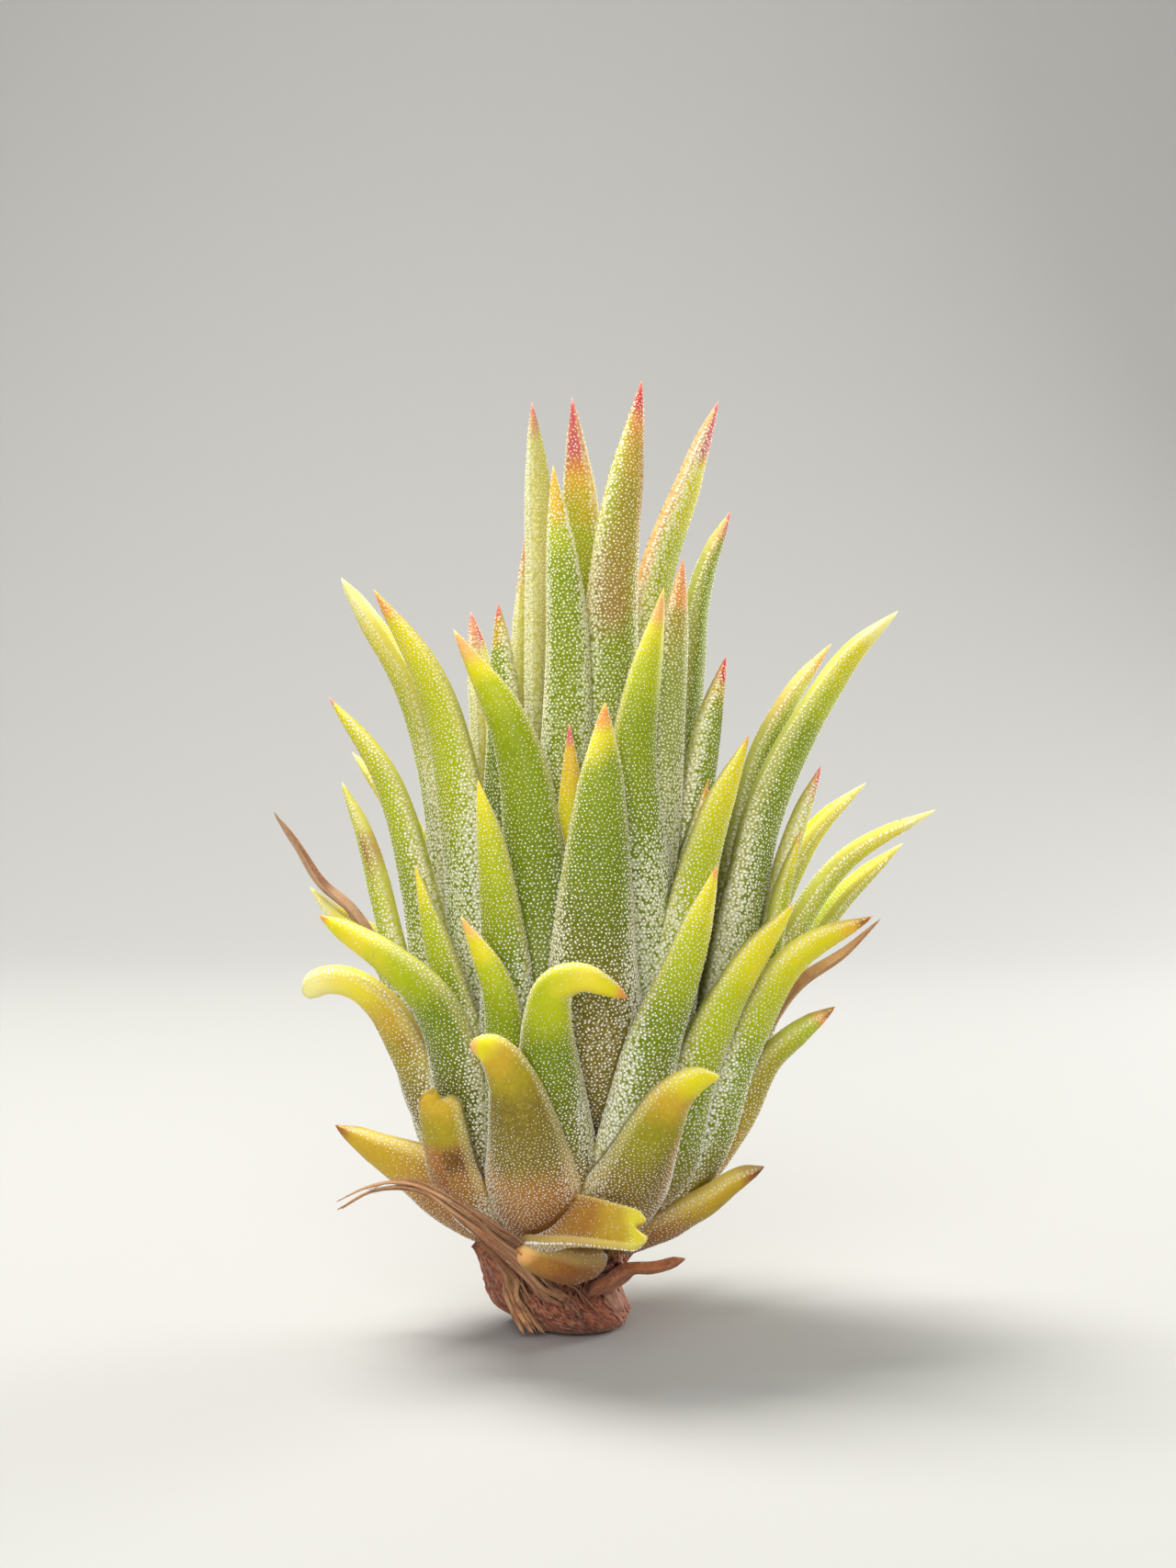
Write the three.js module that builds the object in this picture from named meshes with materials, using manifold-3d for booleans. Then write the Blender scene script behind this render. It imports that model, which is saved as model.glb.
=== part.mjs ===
// A small ionantha air plant: a stemless-looking rosette of thick, channelled, pointed leaves
// that sit on a short hidden stem, with the brown remains of old leaves under it.
// Millimetres, +Z up. +X is the plant's right and -Y its front, the side with the broad leaf.
// The origin is on the surface that the plant stands on, at the foot of the stem's axis.
import * as THREE from "three";
import { mergeVertices } from "three/addons/utils/BufferGeometryUtils.js";
import Module from "manifold-3d";

const wasm = await Module();
wasm.setup();

// Driving dimensions
const LEAN = 0.07; // the stem's axis moves this far to +X for each millimetre up
const GAP = 0.3; // clear space between pieces that touch in life
const STEM_FOOT = 3.6; // height of the stem's lower end
const STEM_TOP = 16.5;
const STEM_FOOT_RADIUS = 3.1;
const STEM_TOP_RADIUS = 0.9;

// A leaf's section: a crescent, round outside and channelled inside
const SHEATH_THICK = 0.95;
const BLADE_THICK = 1.7;
const EDGE_THICK = 0.6;
const SHEATH_ARCH = 0.42; // how far the back stands out, as a share of the half width
const BLADE_ARCH = 0.78;
const FOOT_WIDTH = 0.4; // the leaf's foot against its widest part
const WIDEST_AT = 0.24; // share of the length where the sheath is widest
const TAPER = 0.52; // under 1 gives a blade with swollen sides
const MIDRIB_STEPS = 72; // steps along which the section's frame is carried
const RINGS = 6; // sections modelled in each leaf
const GATHER = 1.15; // over 1 gathers the sections towards the tip
const BACK_POINTS = 5; // points across the round outside
const CHANNEL_POINTS = 3;

// Colour and roughness of each kind of leaf
const HUES = {
  silver: [0xb4b994, 0.85],
  pale: [0xbfc487, 0.7],
  green: [0x8fa84a, 0.65],
  olive: [0x8d8c4a, 0.7],
  yellow: [0xc8c653, 0.5],
  orange: [0xd0ac5a, 0.5],
  pink: [0xcf9a74, 0.6],
  tan: [0xb99d7e, 0.85],
  brown: [0x8c6844, 0.9],
  stem: [0xcbb9a0, 0.7],
};

// Each leaf grows from the stem at height `seat` and follows `path`, [x, y, z] points from
// the sheath to the tip. They are listed from the heart outwards, and an outer leaf wraps
// round the ones inside it. `wide` is its greatest width, at share `widest` of its length.
// `taper` shapes the blade, `blunt` is the tip's width against the greatest, `thick` and `arch`
// replace the section's own, and `roll` and `twist` turn it about the midrib, in radians.
// `foot` replaces the place on the stem, and `notch` is [sideways, deep, half width] of a wedge
// missing from the tip. `rings` sections are modelled, gathered towards the tip by `gather`.
const LEAVES = [
  // the tall crown
  {
    name: "crown_leaf_1", hue: "orange", seat: 15.5, wide: 5, taper: 0.4,
    path: [[1.9, 3, 30], [1.9, 3.4, 44], [1.6, 3.6, 56], [0.7, 3, 67.6]],
  },
  {
    name: "crown_leaf_2", hue: "pale", seat: 15, wide: 5.6, roll: -0.4,
    path: [[-1.1, 0.4, 30], [-1.6, 0.2, 44], [-1.7, 0.5, 56], [-2.2, 1, 67]],
  },
  {
    name: "crown_leaf_3", hue: "olive", seat: 14.6, wide: 6.2,
    path: [[3, -4.6, 30], [3.6, -5.6, 44], [4, -5, 56], [5.7, -2, 68.2]],
  },
  {
    name: "crown_leaf_4", hue: "pink", seat: 14.6, wide: 8.2, taper: 0.64, roll: -0.2,
    path: [[6, -0.4, 30], [6.2, -1, 44], [7.1, -1.2, 54], [9.2, -0.9, 61], [11.3, 0, 67]],
  },
  {
    name: "crown_leaf_5", hue: "olive", seat: 13.8, wide: 3.8, rings: 5,
    path: [[-2.8, 1.8, 28], [-3.1, 2.2, 40], [-3.1, 2.4, 49], [-2.7, 2.4, 57.6]],
  },
  {
    name: "crown_leaf_6", hue: "green", seat: 13.4, wide: 5.2,
    path: [[0.2, -6, 28], [0.3, -7.2, 40], [0.4, -6.8, 50], [-0.6, -4, 62]],
  },
  {
    name: "crown_leaf_7", hue: "pale", seat: 13, wide: 6.4, taper: 0.46, roll: -0.2,
    path: [[7.8, 1, 26], [9, 1.4, 38], [9.5, 1.6, 47], [10.2, 1.8, 54], [12.3, 2, 59.2]],
  },
  // inner leaves, half hidden by the outer ones
  {
    name: "inner_leaf_1", hue: "silver", seat: 12.4, wide: 5.8,
    path: [[5.6, -6.6, 24], [6.8, -8.2, 36], [7.5, -7.2, 46], [8.6, -4, 55.4]],
  },
  {
    name: "inner_leaf_2", hue: "pink", seat: 12, wide: 6, rings: 5,
    path: [[-3.5, -3.4, 24], [-4.4, -4.4, 35], [-4.2, -4, 44], [-4.5, -3, 52.3]],
  },
  {
    name: "inner_leaf_3", hue: "pale", seat: 11.6, wide: 6.2, taper: 0.46, rings: 5,
    path: [[-5.4, 3.2, 24], [-5.9, 4, 36], [-6, 5, 45], [-6.9, 6, 52]],
  },
  {
    name: "inner_leaf_4", hue: "green", seat: 11.4, wide: 5.4,
    path: [[8, -4.6, 22], [9, -5.6, 33], [10.2, -4.6, 42], [11.7, -3, 48.5]],
  },
  {
    name: "inner_leaf_5", hue: "orange", seat: 11, wide: 4.6, taper: 0.6,
    path: [[0.2, -8, 22], [0.5, -9.4, 32], [0.7, -9.4, 38], [0.6, -9.2, 43.8]],
  },
  {
    name: "inner_leaf_6", hue: "yellow", seat: 10.6, wide: 5.8,
    path: [[5, -9.4, 22], [5.7, -11, 33], [5.1, -10.6, 42], [7.1, -8, 53.2]],
  },
  {
    name: "inner_leaf_7", hue: "yellow", seat: 10.4, wide: 6.2,
    path: [[-1.8, -9.6, 22], [-1.9, -11.2, 34], [-3.3, -10.8, 43], [-7.4, -9, 50.3]],
  },
  {
    name: "inner_leaf_8", hue: "pale", seat: 10.2, wide: 5.6, taper: 0.36, rings: 8,
    path: [[-8.4, 1.6, 24], [-9.3, 3, 37], [-11.5, 4.4, 46], [-16.5, 5, 54.5]],
  },
  {
    name: "inner_leaf_9", hue: "pale", seat: 10, wide: 5.6,
    path: [[11, -0.8, 23], [13, -1.2, 35], [14.2, -1, 41], [16.4, -0.6, 45.4], [19.5, 0, 49.5]],
  },
  {
    name: "inner_leaf_10", hue: "green", seat: 9.6, wide: 3.6, rings: 5,
    path: [[7, -7, 20], [8.4, -7.6, 31], [9.4, -7.2, 36], [10.3, -7, 40]],
  },
  // middle leaves
  {
    name: "middle_leaf_1", hue: "yellow", seat: 9.8, wide: 6.6, taper: 0.62,
    path: [[-5.8, -6, 20], [-7, -6.4, 34], [-9.1, -5, 46], [-13.4, -3, 53.3]],
  },
  {
    name: "middle_leaf_2", hue: "yellow", seat: 9.6, wide: 6,
    path: [
      [10.8, -4.8, 20], [13.4, -5.4, 31], [14.6, -5, 37],
      [17.2, -4, 43], [20.4, -3, 48.2], [24.1, -2, 51.8],
    ],
  },
  {
    name: "middle_leaf_3", hue: "green", seat: 9.4, wide: 5.2,
    path: [[-3.6, -9.6, 17], [-3.9, -12.2, 28], [-4.7, -12.4, 35.6], [-5.6, -11.5, 40]],
  },
  {
    name: "middle_leaf_4", hue: "green", seat: 9.2, wide: 5.2,
    path: [[6.6, -9, 18], [8.6, -10.4, 29], [10.3, -10, 36.4], [13, -8.5, 43]],
  },
  {
    name: "middle_leaf_5", hue: "pale", seat: 9, wide: 5.4, taper: 0.6,
    path: [[12, 3, 18], [15.4, 4.6, 28.6], [18.7, 6, 35.2], [22.8, 6.5, 39.2]],
  },
  {
    name: "middle_leaf_6", hue: "silver", seat: 8.8, wide: 5.6, taper: 0.62,
    path: [[-8.2, -4.6, 18], [-10.3, -6, 32], [-12.3, -5.6, 39.6], [-16.5, -4, 45.6]],
  },
  {
    name: "middle_leaf_7", hue: "green", seat: 8.6, wide: 8,
    path: [[2.6, -11.4, 17], [2.4, -15, 28], [2.7, -14.6, 37], [3, -13, 45.3]],
  },
  {
    name: "middle_leaf_8", hue: "olive", seat: 8.4, wide: 4.8,
    path: [[11, -2.4, 17], [14.6, -3, 28], [16.4, -2.8, 35], [18.6, -2, 40.7]],
  },
  {
    name: "middle_leaf_9", hue: "green", seat: 8.2, wide: 3.6, rings: 5,
    path: [[12, -4.8, 17], [14.8, -5.4, 27.6], [15.8, -5.2, 32.5], [17, -4.5, 36.3]],
  },
  {
    name: "middle_leaf_10", hue: "pale", seat: 8, wide: 5,
    path: [[-10, -0.6, 15], [-12.1, -1.8, 27], [-13.8, -1.6, 34.4], [-15.9, -1, 39.5]],
  },
  // outer leaves
  {
    name: "outer_leaf_1", hue: "yellow", seat: 7.8, wide: 4.6,
    path: [[11.2, 4.4, 14], [16.9, 6.4, 24.7], [21, 7.2, 30.2], [25.7, 7.4, 34.6]],
  },
  {
    name: "outer_leaf_2", hue: "yellow", seat: 7.6, wide: 5.4, taper: 0.62,
    path: [[11, 0, 14], [15.8, -0.4, 26.4], [20.4, 0, 33.6], [27.4, 1.5, 37.4]],
  },
  {
    name: "outer_leaf_3", hue: "yellow", seat: 7.4, wide: 4.2, rings: 5,
    path: [[-5.6, -8.8, 14], [-7, -10, 23], [-8.8, -9.6, 29.4], [-10.1, -8.6, 34]],
  },
  {
    name: "outer_leaf_4", hue: "pale", seat: 7.2, wide: 5,
    path: [
      [-9.2, 2.4, 12], [-11.6, 3.2, 22], [-14, 3.4, 27.4],
      [-16.6, 3.2, 29.2], [-18.7, 3, 31.6],
    ],
  },
  {
    name: "outer_leaf_5", hue: "green", seat: 7.1, wide: 5.6,
    path: [[4.6, -11.4, 13], [6.4, -14.8, 22], [8.6, -14.6, 28.4], [10.6, -13, 34.3]],
  },
  {
    name: "outer_leaf_6", hue: "yellow", seat: 7, wide: 4.8,
    path: [[-3.2, -11.4, 13], [-3.6, -13.4, 21], [-4.2, -13.8, 26], [-6.7, -13.2, 30.9]],
  },
  {
    name: "outer_leaf_7", hue: "yellow", seat: 6.8, wide: 5.2,
    path: [[7.4, -9.2, 12], [9.7, -11.6, 20.6], [12.4, -11.4, 26.6], [16.1, -9.8, 31.5]],
  },
  {
    name: "outer_leaf_8", hue: "green", seat: 6.6, wide: 5.4,
    path: [[9.2, -6.4, 11], [12.8, -8.6, 21], [16.2, -8.4, 27.3], [21.8, -7, 30.3]],
  },
  {
    name: "outer_leaf_9", hue: "yellow", seat: 6.4, wide: 5.6, rings: 9, gather: 1.3,
    path: [
      [-6.2, -7.6, 10], [-7.2, -11.2, 19], [-8.8, -12.4, 24.6],
      [-11.6, -12.2, 27.6], [-14.6, -11.2, 29.5], [-16.6, -10.4, 30.7],
    ],
  },
  {
    name: "outer_leaf_10", hue: "yellow", seat: 6.2, wide: 6.4, taper: 0.6, rings: 11, gather: 1.5,
    path: [
      [0, -9.6, 10], [-0.6, -15, 18], [-0.8, -17.6, 24.4], [-0.2, -18.6, 26.7],
      [1.4, -19, 27.3], [2.9, -18.8, 26.8], [4.5, -18, 25.9],
    ],
  },
  {
    name: "outer_leaf_11", hue: "orange", seat: 6, wide: 5.4,
    taper: 0.8, blunt: 0.32, rings: 10, gather: 1.4,
    path: [
      [-6.2, -4.8, 10], [-9.3, -7.2, 16.5], [-11, -8, 21], [-12.6, -8, 24],
      [-14.6, -8, 25.6], [-16.6, -7.6, 25.7], [-18, -7, 24.7],
    ],
  },
  // the short leaves at the foot
  {
    name: "basal_leaf_1", hue: "green", seat: 5.8, wide: 5.8,
    path: [[8, -3, 9], [12.4, -4.4, 14.8], [15, -4.4, 20], [19.5, -4, 23.6]],
  },
  {
    name: "basal_leaf_2", hue: "silver", seat: 5.6, wide: 6.6,
    widest: 0.42, taper: 0.7, blunt: 0.1, rings: 9, gather: 1.3,
    path: [
      [3.6, -8.2, 8.4], [5.2, -13.6, 12.6], [6.6, -16.4, 17],
      [7.7, -17.1, 19.3], [9, -17.3, 20.3], [10.6, -17, 20.6],
    ],
  },
  {
    name: "basal_leaf_3", hue: "tan", seat: 5.4, wide: 6.8,
    widest: 0.48, taper: 0.9, blunt: 0.25, rings: 9, gather: 1.3,
    path: [
      [-1.6, -8.2, 8], [-2.1, -13.2, 12], [-2.6, -16.4, 17.2],
      [-3.3, -17.4, 20.6], [-4.4, -17.6, 22.3], [-5.9, -17.2, 22.8],
    ],
  },
  {
    name: "basal_leaf_4", hue: "yellow", seat: 5.2, wide: 4.4,
    widest: 0.45, taper: 1, blunt: 0.72, rings: 8, gather: 1.4, notch: [0.3, 0.9, 0.9],
    path: [[-5, -6.4, 8], [-7.3, -11, 12], [-8.1, -12.6, 16], [-8.5, -13.2, 19.2]],
  },
  {
    name: "basal_leaf_5", hue: "yellow", seat: 5.1, roll: 0.6, wide: 6.8, widest: 0.4, taper: 0.8,
    path: [
      [-5.2, -2.4, 7.2], [-8, -3.2, 9.2], [-10.2, -3.6, 11],
      [-12.6, -3.4, 12.7], [-16.3, -2.8, 14.9],
    ],
  },
  {
    name: "basal_leaf_6", hue: "orange", seat: 5, wide: 4.8, widest: 0.32,
    path: [[6, -4, 6.9], [10, -7, 10], [12, -8, 11.8], [14.2, -8, 12.9]],
  },
  {
    name: "basal_leaf_7", hue: "tan", seat: 4.8, wide: 5,
    widest: 0.4, taper: 0.8, blunt: 0.5, twist: 1.4, rings: 9, gather: 1.3,
    notch: [0.2, 1, 0.7],
    path: [[0, -7.4, 7], [0.2, -11.4, 9], [1.3, -14.2, 10], [3.4, -15.6, 10.2], [6, -15.4, 9.8]],
  },
  {
    name: "basal_leaf_8", hue: "orange", seat: 4.4, wide: 5, widest: 0.5, blunt: 0.3,
    path: [[0.9, -6.8, 5.2], [-0.5, -9.8, 6.2], [-3, -11, 7.8]],
  },
];

// The leaves behind, which grow by one rule: each row is [turn, reach, height], and the leaf
// leans out `reach` from the stem's axis, `turn` degrees round it, up to `height`.
// Neighbours are fused at their sheaths.
const REAR_SPREAD = [0.42, 0.58, 0.77, 1]; // share of the reach at each point of the path
const REAR_RISE = [0.22, 0.58, 0.84, 1]; // share of the height at the same points
const REAR = [
  {
    name: "rear_leaves_1",
    hue: "olive",
    seat: 13,
    wide: 5.2,
    rings: 5,
    leaves: [[55, 8.5, 53], [95, 9, 54], [135, 8.5, 51]],
  },
  {
    name: "rear_leaves_2",
    hue: "pale",
    seat: 11,
    wide: 5.4,
    rings: 5,
    leaves: [[52, 12, 46], [80, 12.5, 47], [108, 12.5, 46], [136, 12, 44]],
  },
  {
    name: "rear_leaves_3",
    hue: "green",
    rings: 5,
    seat: 9,
    wide: 5.4,
    leaves: [[28, 15.5, 40], [52, 16, 38], [76, 17, 42]],
  },
  {
    name: "rear_leaves_4",
    hue: "pale",
    rings: 5,
    seat: 8.5,
    wide: 5.4,
    leaves: [[100, 17, 41], [121, 16.5, 40], [142, 17, 39], [162, 19.7, 41.5]],
  },
  {
    name: "rear_leaves_5",
    hue: "yellow",
    rings: 5,
    seat: 7.5,
    wide: 5.2,
    leaves: [[22, 20, 29], [45, 20.5, 32], [68, 21, 30]],
  },
  {
    name: "rear_leaves_6",
    hue: "green",
    rings: 5,
    seat: 6.9,
    wide: 5.2,
    leaves: [[92, 21, 31], [115, 20.5, 29], [138, 19, 27], [160, 17, 23]],
  },
  {
    name: "rear_leaves_7",
    hue: "tan",
    seat: 5.1,
    wide: 5.6,
    leaves: [[42, 15.5, 14], [80, 16.5, 15], [118, 15.5, 14]],
  },
];

// Dry remains: leaf blades that have shrunk to thin strips
const DRY = [
  {
    name: "dry_leaf_1", hue: "brown", seat: 7.9, wide: 1.7,
    taper: 0.5, thick: 0.8, arch: 0.3, twist: 5, rings: 12,
    path: [
      [-9.6, 2, 16], [-13.4, 3, 26.5], [-15.6, 3, 29.9],
      [-17.9, 3, 31.9], [-19.8, 2.5, 35], [-21.2, 2, 37.2],
    ],
  },
  {
    name: "dry_leaf_2", hue: "brown", seat: 7.85, wide: 2.2, taper: 0.5, thick: 0.9, arch: 0.3,
    path: [
      [10.2, -3.6, 13.5], [14.8, -3, 22.2], [17, -3, 25.2],
      [20.2, -3, 27.4], [22.8, -3, 29.8],
    ],
  },
  {
    name: "dry_curl", hue: "brown", seat: 2.4, foot: [2, -3.8, 3], wide: 2,
    taper: 0.4, thick: 0.8, arch: 0.3, rings: 9,
    path: [[3.6, -6.4, 4.4], [4.8, -7.6, 5.6], [6.4, -8, 5.8], [8.7, -7.4, 6.3]],
  },
];
// The strips that the dry sheath at the foot runs out in
const STRIPS = [
  {
    seat: 2.2, foot: [-0.8, -3.4, 1.6], wide: 1.8, taper: 0.36, thick: 0.75, arch: 0.25, rings: 11,
    path: [
      [-1.2, -7.6, 4.9], [-3, -10.8, 7.6], [-4.6, -12.9, 9.3], [-6.6, -13.6, 11],
      [-9.2, -12.6, 12.3], [-11.4, -10.6, 12.2], [-13.3, -9.2, 11.5], [-15.4, -8, 10.2],
    ],
  },
  {
    seat: 2.2, foot: [-2.2, -2.8, 1.8], wide: 1.7, taper: 0.5, thick: 0.75, arch: 0.25, rings: 7,
    path: [[-3.6, -6.4, 5.2], [-5.4, -9.6, 8.2], [-7, -10.8, 9.9], [-8.7, -10.8, 11.4]],
  },
];
// Outline of the dry sheath, [radius, height] from its flat spot up
const DRY_SHEATH = [
  [0, 0], [3.7, 0], [4.15, 0.5], [4.35, 1.6], [4.5, 3], [4.8, 4.2], [5.2, 5.2], [4.4, 5.4], [0, 5.4],
];
const SPOT_CENTRE = [1.1, -1.3]; // under the plant's weight
const SHEATH_CENTRE = [-0.6, -0.5]; // from SHEATH_CENTRE_FROM up
const SHEATH_CENTRE_FROM = 3;
const DRY_FOLDS = 7; // soft folds round the dry sheath
const ROOT = { from: [2, -2.4, 5], to: [4.2, -5.1, 2.1], radius: 0.6 };

// Small helpers
const mix = (a, b, t) => a + (b - a) * t;
const clamp = (x) => Math.min(1, Math.max(0, x));
const smooth = (x) => clamp(x) ** 2 * (3 - 2 * clamp(x));
const axisX = (z) => LEAN * z;

function stemRadius(z) {
  return mix(STEM_FOOT_RADIUS, STEM_TOP_RADIUS, clamp((z - STEM_FOOT) / (STEM_TOP - STEM_FOOT)));
}

// The leaf's foot: on the stem, on the side that its sheath leans to
function footOf(leaf) {
  const [x, y] = leaf.path[0];
  const turn = Math.atan2(y, x - axisX(leaf.seat));
  const radius = stemRadius(leaf.seat) - GAP;
  return new THREE.Vector3(
    axisX(leaf.seat) + radius * Math.cos(turn),
    radius * Math.sin(turn),
    leaf.seat,
  );
}

// Half width of the leaf at share s of its length
function halfWidth(leaf, s) {
  const widest = leaf.widest ?? WIDEST_AT;
  const blunt = leaf.blunt ?? 0;
  const share =
    s < widest
      ? mix(FOOT_WIDTH, 1, smooth(s / widest))
      : blunt + (1 - blunt) * ((1 - s) / (1 - widest)) ** (leaf.taper ?? TAPER);
  return (leaf.wide / 2) * share;
}

// Points, tangents and outward normals along the leaf's midrib
function midrib(leaf) {
  const curve = new THREE.CatmullRomCurve3([
    leaf.foot ? new THREE.Vector3(...leaf.foot) : footOf(leaf),
    ...leaf.path.map((p) => new THREE.Vector3(...p)),
  ]);
  const frames = [];
  const outward = new THREE.Vector3();
  for (let i = 0; i <= MIDRIB_STEPS; i++) {
    const point = curve.getPointAt(i / MIDRIB_STEPS);
    const tangent = curve.getTangentAt(i / MIDRIB_STEPS);
    if (i === 0) {
      outward.set(point.x - axisX(point.z), point.y, 0).normalize();
      outward.z = -1;
    }
    outward.addScaledVector(tangent, -outward.dot(tangent)).normalize();
    outward.applyAxisAngle(tangent, (i === 0 ? (leaf.roll ?? 0) : 0) + (leaf.twist ?? 0) / MIDRIB_STEPS);
    frames.push({ point, tangent, outward: outward.clone() });
  }
  return frames;
}

// One section of the leaf as points in space, grown by `grow` all round
function section(leaf, frame, s, grow) {
  const across = new THREE.Vector3().crossVectors(frame.tangent, frame.outward);
  const half = Math.max(halfWidth(leaf, s), 0.05);
  const blade = smooth((s - 0.1) / 0.4);
  const sheathThick = Math.min(SHEATH_THICK, leaf.thick ?? SHEATH_THICK);
  const thick = Math.min(mix(sheathThick, leaf.thick ?? BLADE_THICK, blade), 1.1 * half + 0.25);
  const edge = Math.min(EDGE_THICK, 0.6 * thick);
  const sheathArch = Math.min(SHEATH_ARCH, leaf.arch ?? SHEATH_ARCH);
  const arch = half * mix(sheathArch, leaf.arch ?? BLADE_ARCH, blade);
  const middle = arch - thick / 2; // the path runs through the middle of the flesh
  const place = (sideways, out) =>
    frame.point
      .clone()
      .addScaledVector(across, sideways)
      .addScaledVector(frame.outward, out - middle);
  const ring = [];
  for (let k = 0; k < BACK_POINTS; k++) {
    const turn = Math.PI * (k / (BACK_POINTS - 1) - 0.5);
    ring.push(place((half + grow) * Math.sin(turn), (arch + grow) * Math.cos(turn)));
  }
  for (let k = 0; k < CHANNEL_POINTS; k++) {
    const turn = Math.PI * (0.5 - k / (CHANNEL_POINTS - 1));
    ring.push(
      place(
        (half + grow - 0.35 * edge) * Math.sin(turn),
        (arch + edge - thick) * Math.cos(turn) - edge - grow,
      ),
    );
  }
  return ring;
}

// A closed mesh from rings of points with a flat foot and a pointed tip
function skin(rings, foot, tip) {
  const count = rings[0].length;
  const points = [...rings.flat(), foot, tip];
  const footIndex = points.length - 2;
  const tipIndex = points.length - 1;
  const faces = [];
  for (let j = 0; j < count; j++) {
    const next = (j + 1) % count;
    faces.push(footIndex, next, j);
    for (let i = 0; i + 1 < rings.length; i++) {
      const a = i * count + j;
      const b = i * count + next;
      faces.push(a, b, a + count, b, b + count, a + count);
    }
    const last = (rings.length - 1) * count;
    faces.push(last + j, last + next, tipIndex);
  }
  const geometry = new THREE.BufferGeometry();
  geometry.setAttribute(
    "position",
    new THREE.Float32BufferAttribute(points.flatMap((p) => p.toArray()), 3),
  );
  geometry.setIndex(faces);
  return geometry;
}

function leafGeometry(leaf, grow = 0) {
  const frames = midrib(leaf);
  const rings = [];
  const count = leaf.rings ?? RINGS;
  for (let i = 0; i < count; i++) {
    const s = 1 - (1 - i / count) ** (leaf.gather ?? GATHER);
    rings.push(section(leaf, frames[Math.round(s * MIDRIB_STEPS)], s, grow));
  }
  const first = frames[0];
  const last = frames[MIDRIB_STEPS];
  const foot = first.point.clone().addScaledVector(first.tangent, -grow);
  const tip = last.point.clone().addScaledVector(last.tangent, 2 * grow);
  return skin(rings, foot, tip);
}

// A geometry as a manifold-3d solid, and back
function solid(geometry) {
  const bare = geometry.clone();
  bare.deleteAttribute("normal");
  bare.deleteAttribute("uv");
  const merged = mergeVertices(bare, 1e-4);
  return new wasm.Manifold(
    new wasm.Mesh({
      numProp: 3,
      vertProperties: new Float32Array(merged.attributes.position.array),
      triVerts: new Uint32Array(merged.index.array),
    }),
  );
}

function geometryOf(made) {
  const mesh = made.getMesh();
  const geometry = new THREE.BufferGeometry();
  geometry.setAttribute("position", new THREE.BufferAttribute(mesh.vertProperties, 3));
  geometry.setIndex(new THREE.BufferAttribute(mesh.triVerts, 1));
  return geometry;
}

function largest(made) {
  return made.decompose().sort((a, b) => b.volume() - a.volume())[0];
}

// Build
const plant = new THREE.Group();
const placed = []; // grown copies of the pieces so far, which later pieces give way to

function add(name, hue, raw, grown) {
  const kept = largest(placed.reduce((rest, inner) => rest.subtract(inner), raw));
  placed.push(grown);
  const [color, roughness] = HUES[hue];
  const material = new THREE.MeshStandardMaterial({ color, roughness, metalness: 0 });
  const mesh = new THREE.Mesh(geometryOf(kept), material);
  mesh.name = name;
  plant.add(mesh);
}

function stemGeometry(grow) {
  const foot = STEM_FOOT - grow;
  const top = STEM_TOP + grow;
  const profile = [
    new THREE.Vector2(0, foot),
    new THREE.Vector2(STEM_FOOT_RADIUS + grow, foot),
    new THREE.Vector2(STEM_TOP_RADIUS + grow, top),
    new THREE.Vector2(0, top),
  ];
  const geometry = new THREE.LatheGeometry(profile, 12);
  geometry.rotateX(Math.PI / 2);
  geometry.applyMatrix4(new THREE.Matrix4().makeShear(0, 0, 0, 0, LEAN, 0));
  return geometry;
}

function rearLeaf(group, [turn, reach, height]) {
  const angle = THREE.MathUtils.degToRad(turn);
  const path = REAR_SPREAD.map((spread, i) => {
    const z = group.seat + (height - group.seat) * REAR_RISE[i];
    return [axisX(z) + reach * spread * Math.cos(angle), reach * spread * Math.sin(angle), z];
  });
  return { seat: group.seat, wide: group.wide, rings: group.rings, path };
}

// A wedge across the end of a leaf, which leaves it with two points: [sideways, deep, half width]
function notchGeometry(leaf) {
  const [sideways, deep, half] = leaf.notch;
  const wedge = new THREE.Shape([
    new THREE.Vector2(sideways, -deep),
    new THREE.Vector2(sideways + 2 * half, deep),
    new THREE.Vector2(sideways - 2 * half, deep),
  ]);
  const geometry = new THREE.ExtrudeGeometry(wedge, { depth: 8, bevelEnabled: false });
  geometry.translate(0, 0, -4);
  const end = midrib(leaf)[MIDRIB_STEPS];
  const across = new THREE.Vector3().crossVectors(end.tangent, end.outward);
  const pose = new THREE.Matrix4().makeBasis(across, end.tangent, end.outward);
  return geometry.applyMatrix4(pose.setPosition(end.point));
}

function addLeaf(leaf) {
  const whole = solid(leafGeometry(leaf));
  const raw = leaf.notch ? whole.subtract(solid(notchGeometry(leaf))) : whole;
  add(leaf.name, leaf.hue, raw, solid(leafGeometry(leaf, GAP)));
}

function rootGeometry(grow) {
  const from = new THREE.Vector3(...ROOT.from);
  const along = new THREE.Vector3(...ROOT.to).sub(from);
  const geometry = new THREE.CylinderGeometry(
    0.7 * ROOT.radius + grow,
    ROOT.radius + grow,
    along.length() + grow,
    8,
  );
  geometry.translate(0, (along.length() + grow) / 2, 0);
  geometry.applyQuaternion(
    new THREE.Quaternion().setFromUnitVectors(new THREE.Vector3(0, 1, 0), along.normalize()),
  );
  return geometry.translate(...ROOT.from);
}

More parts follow.
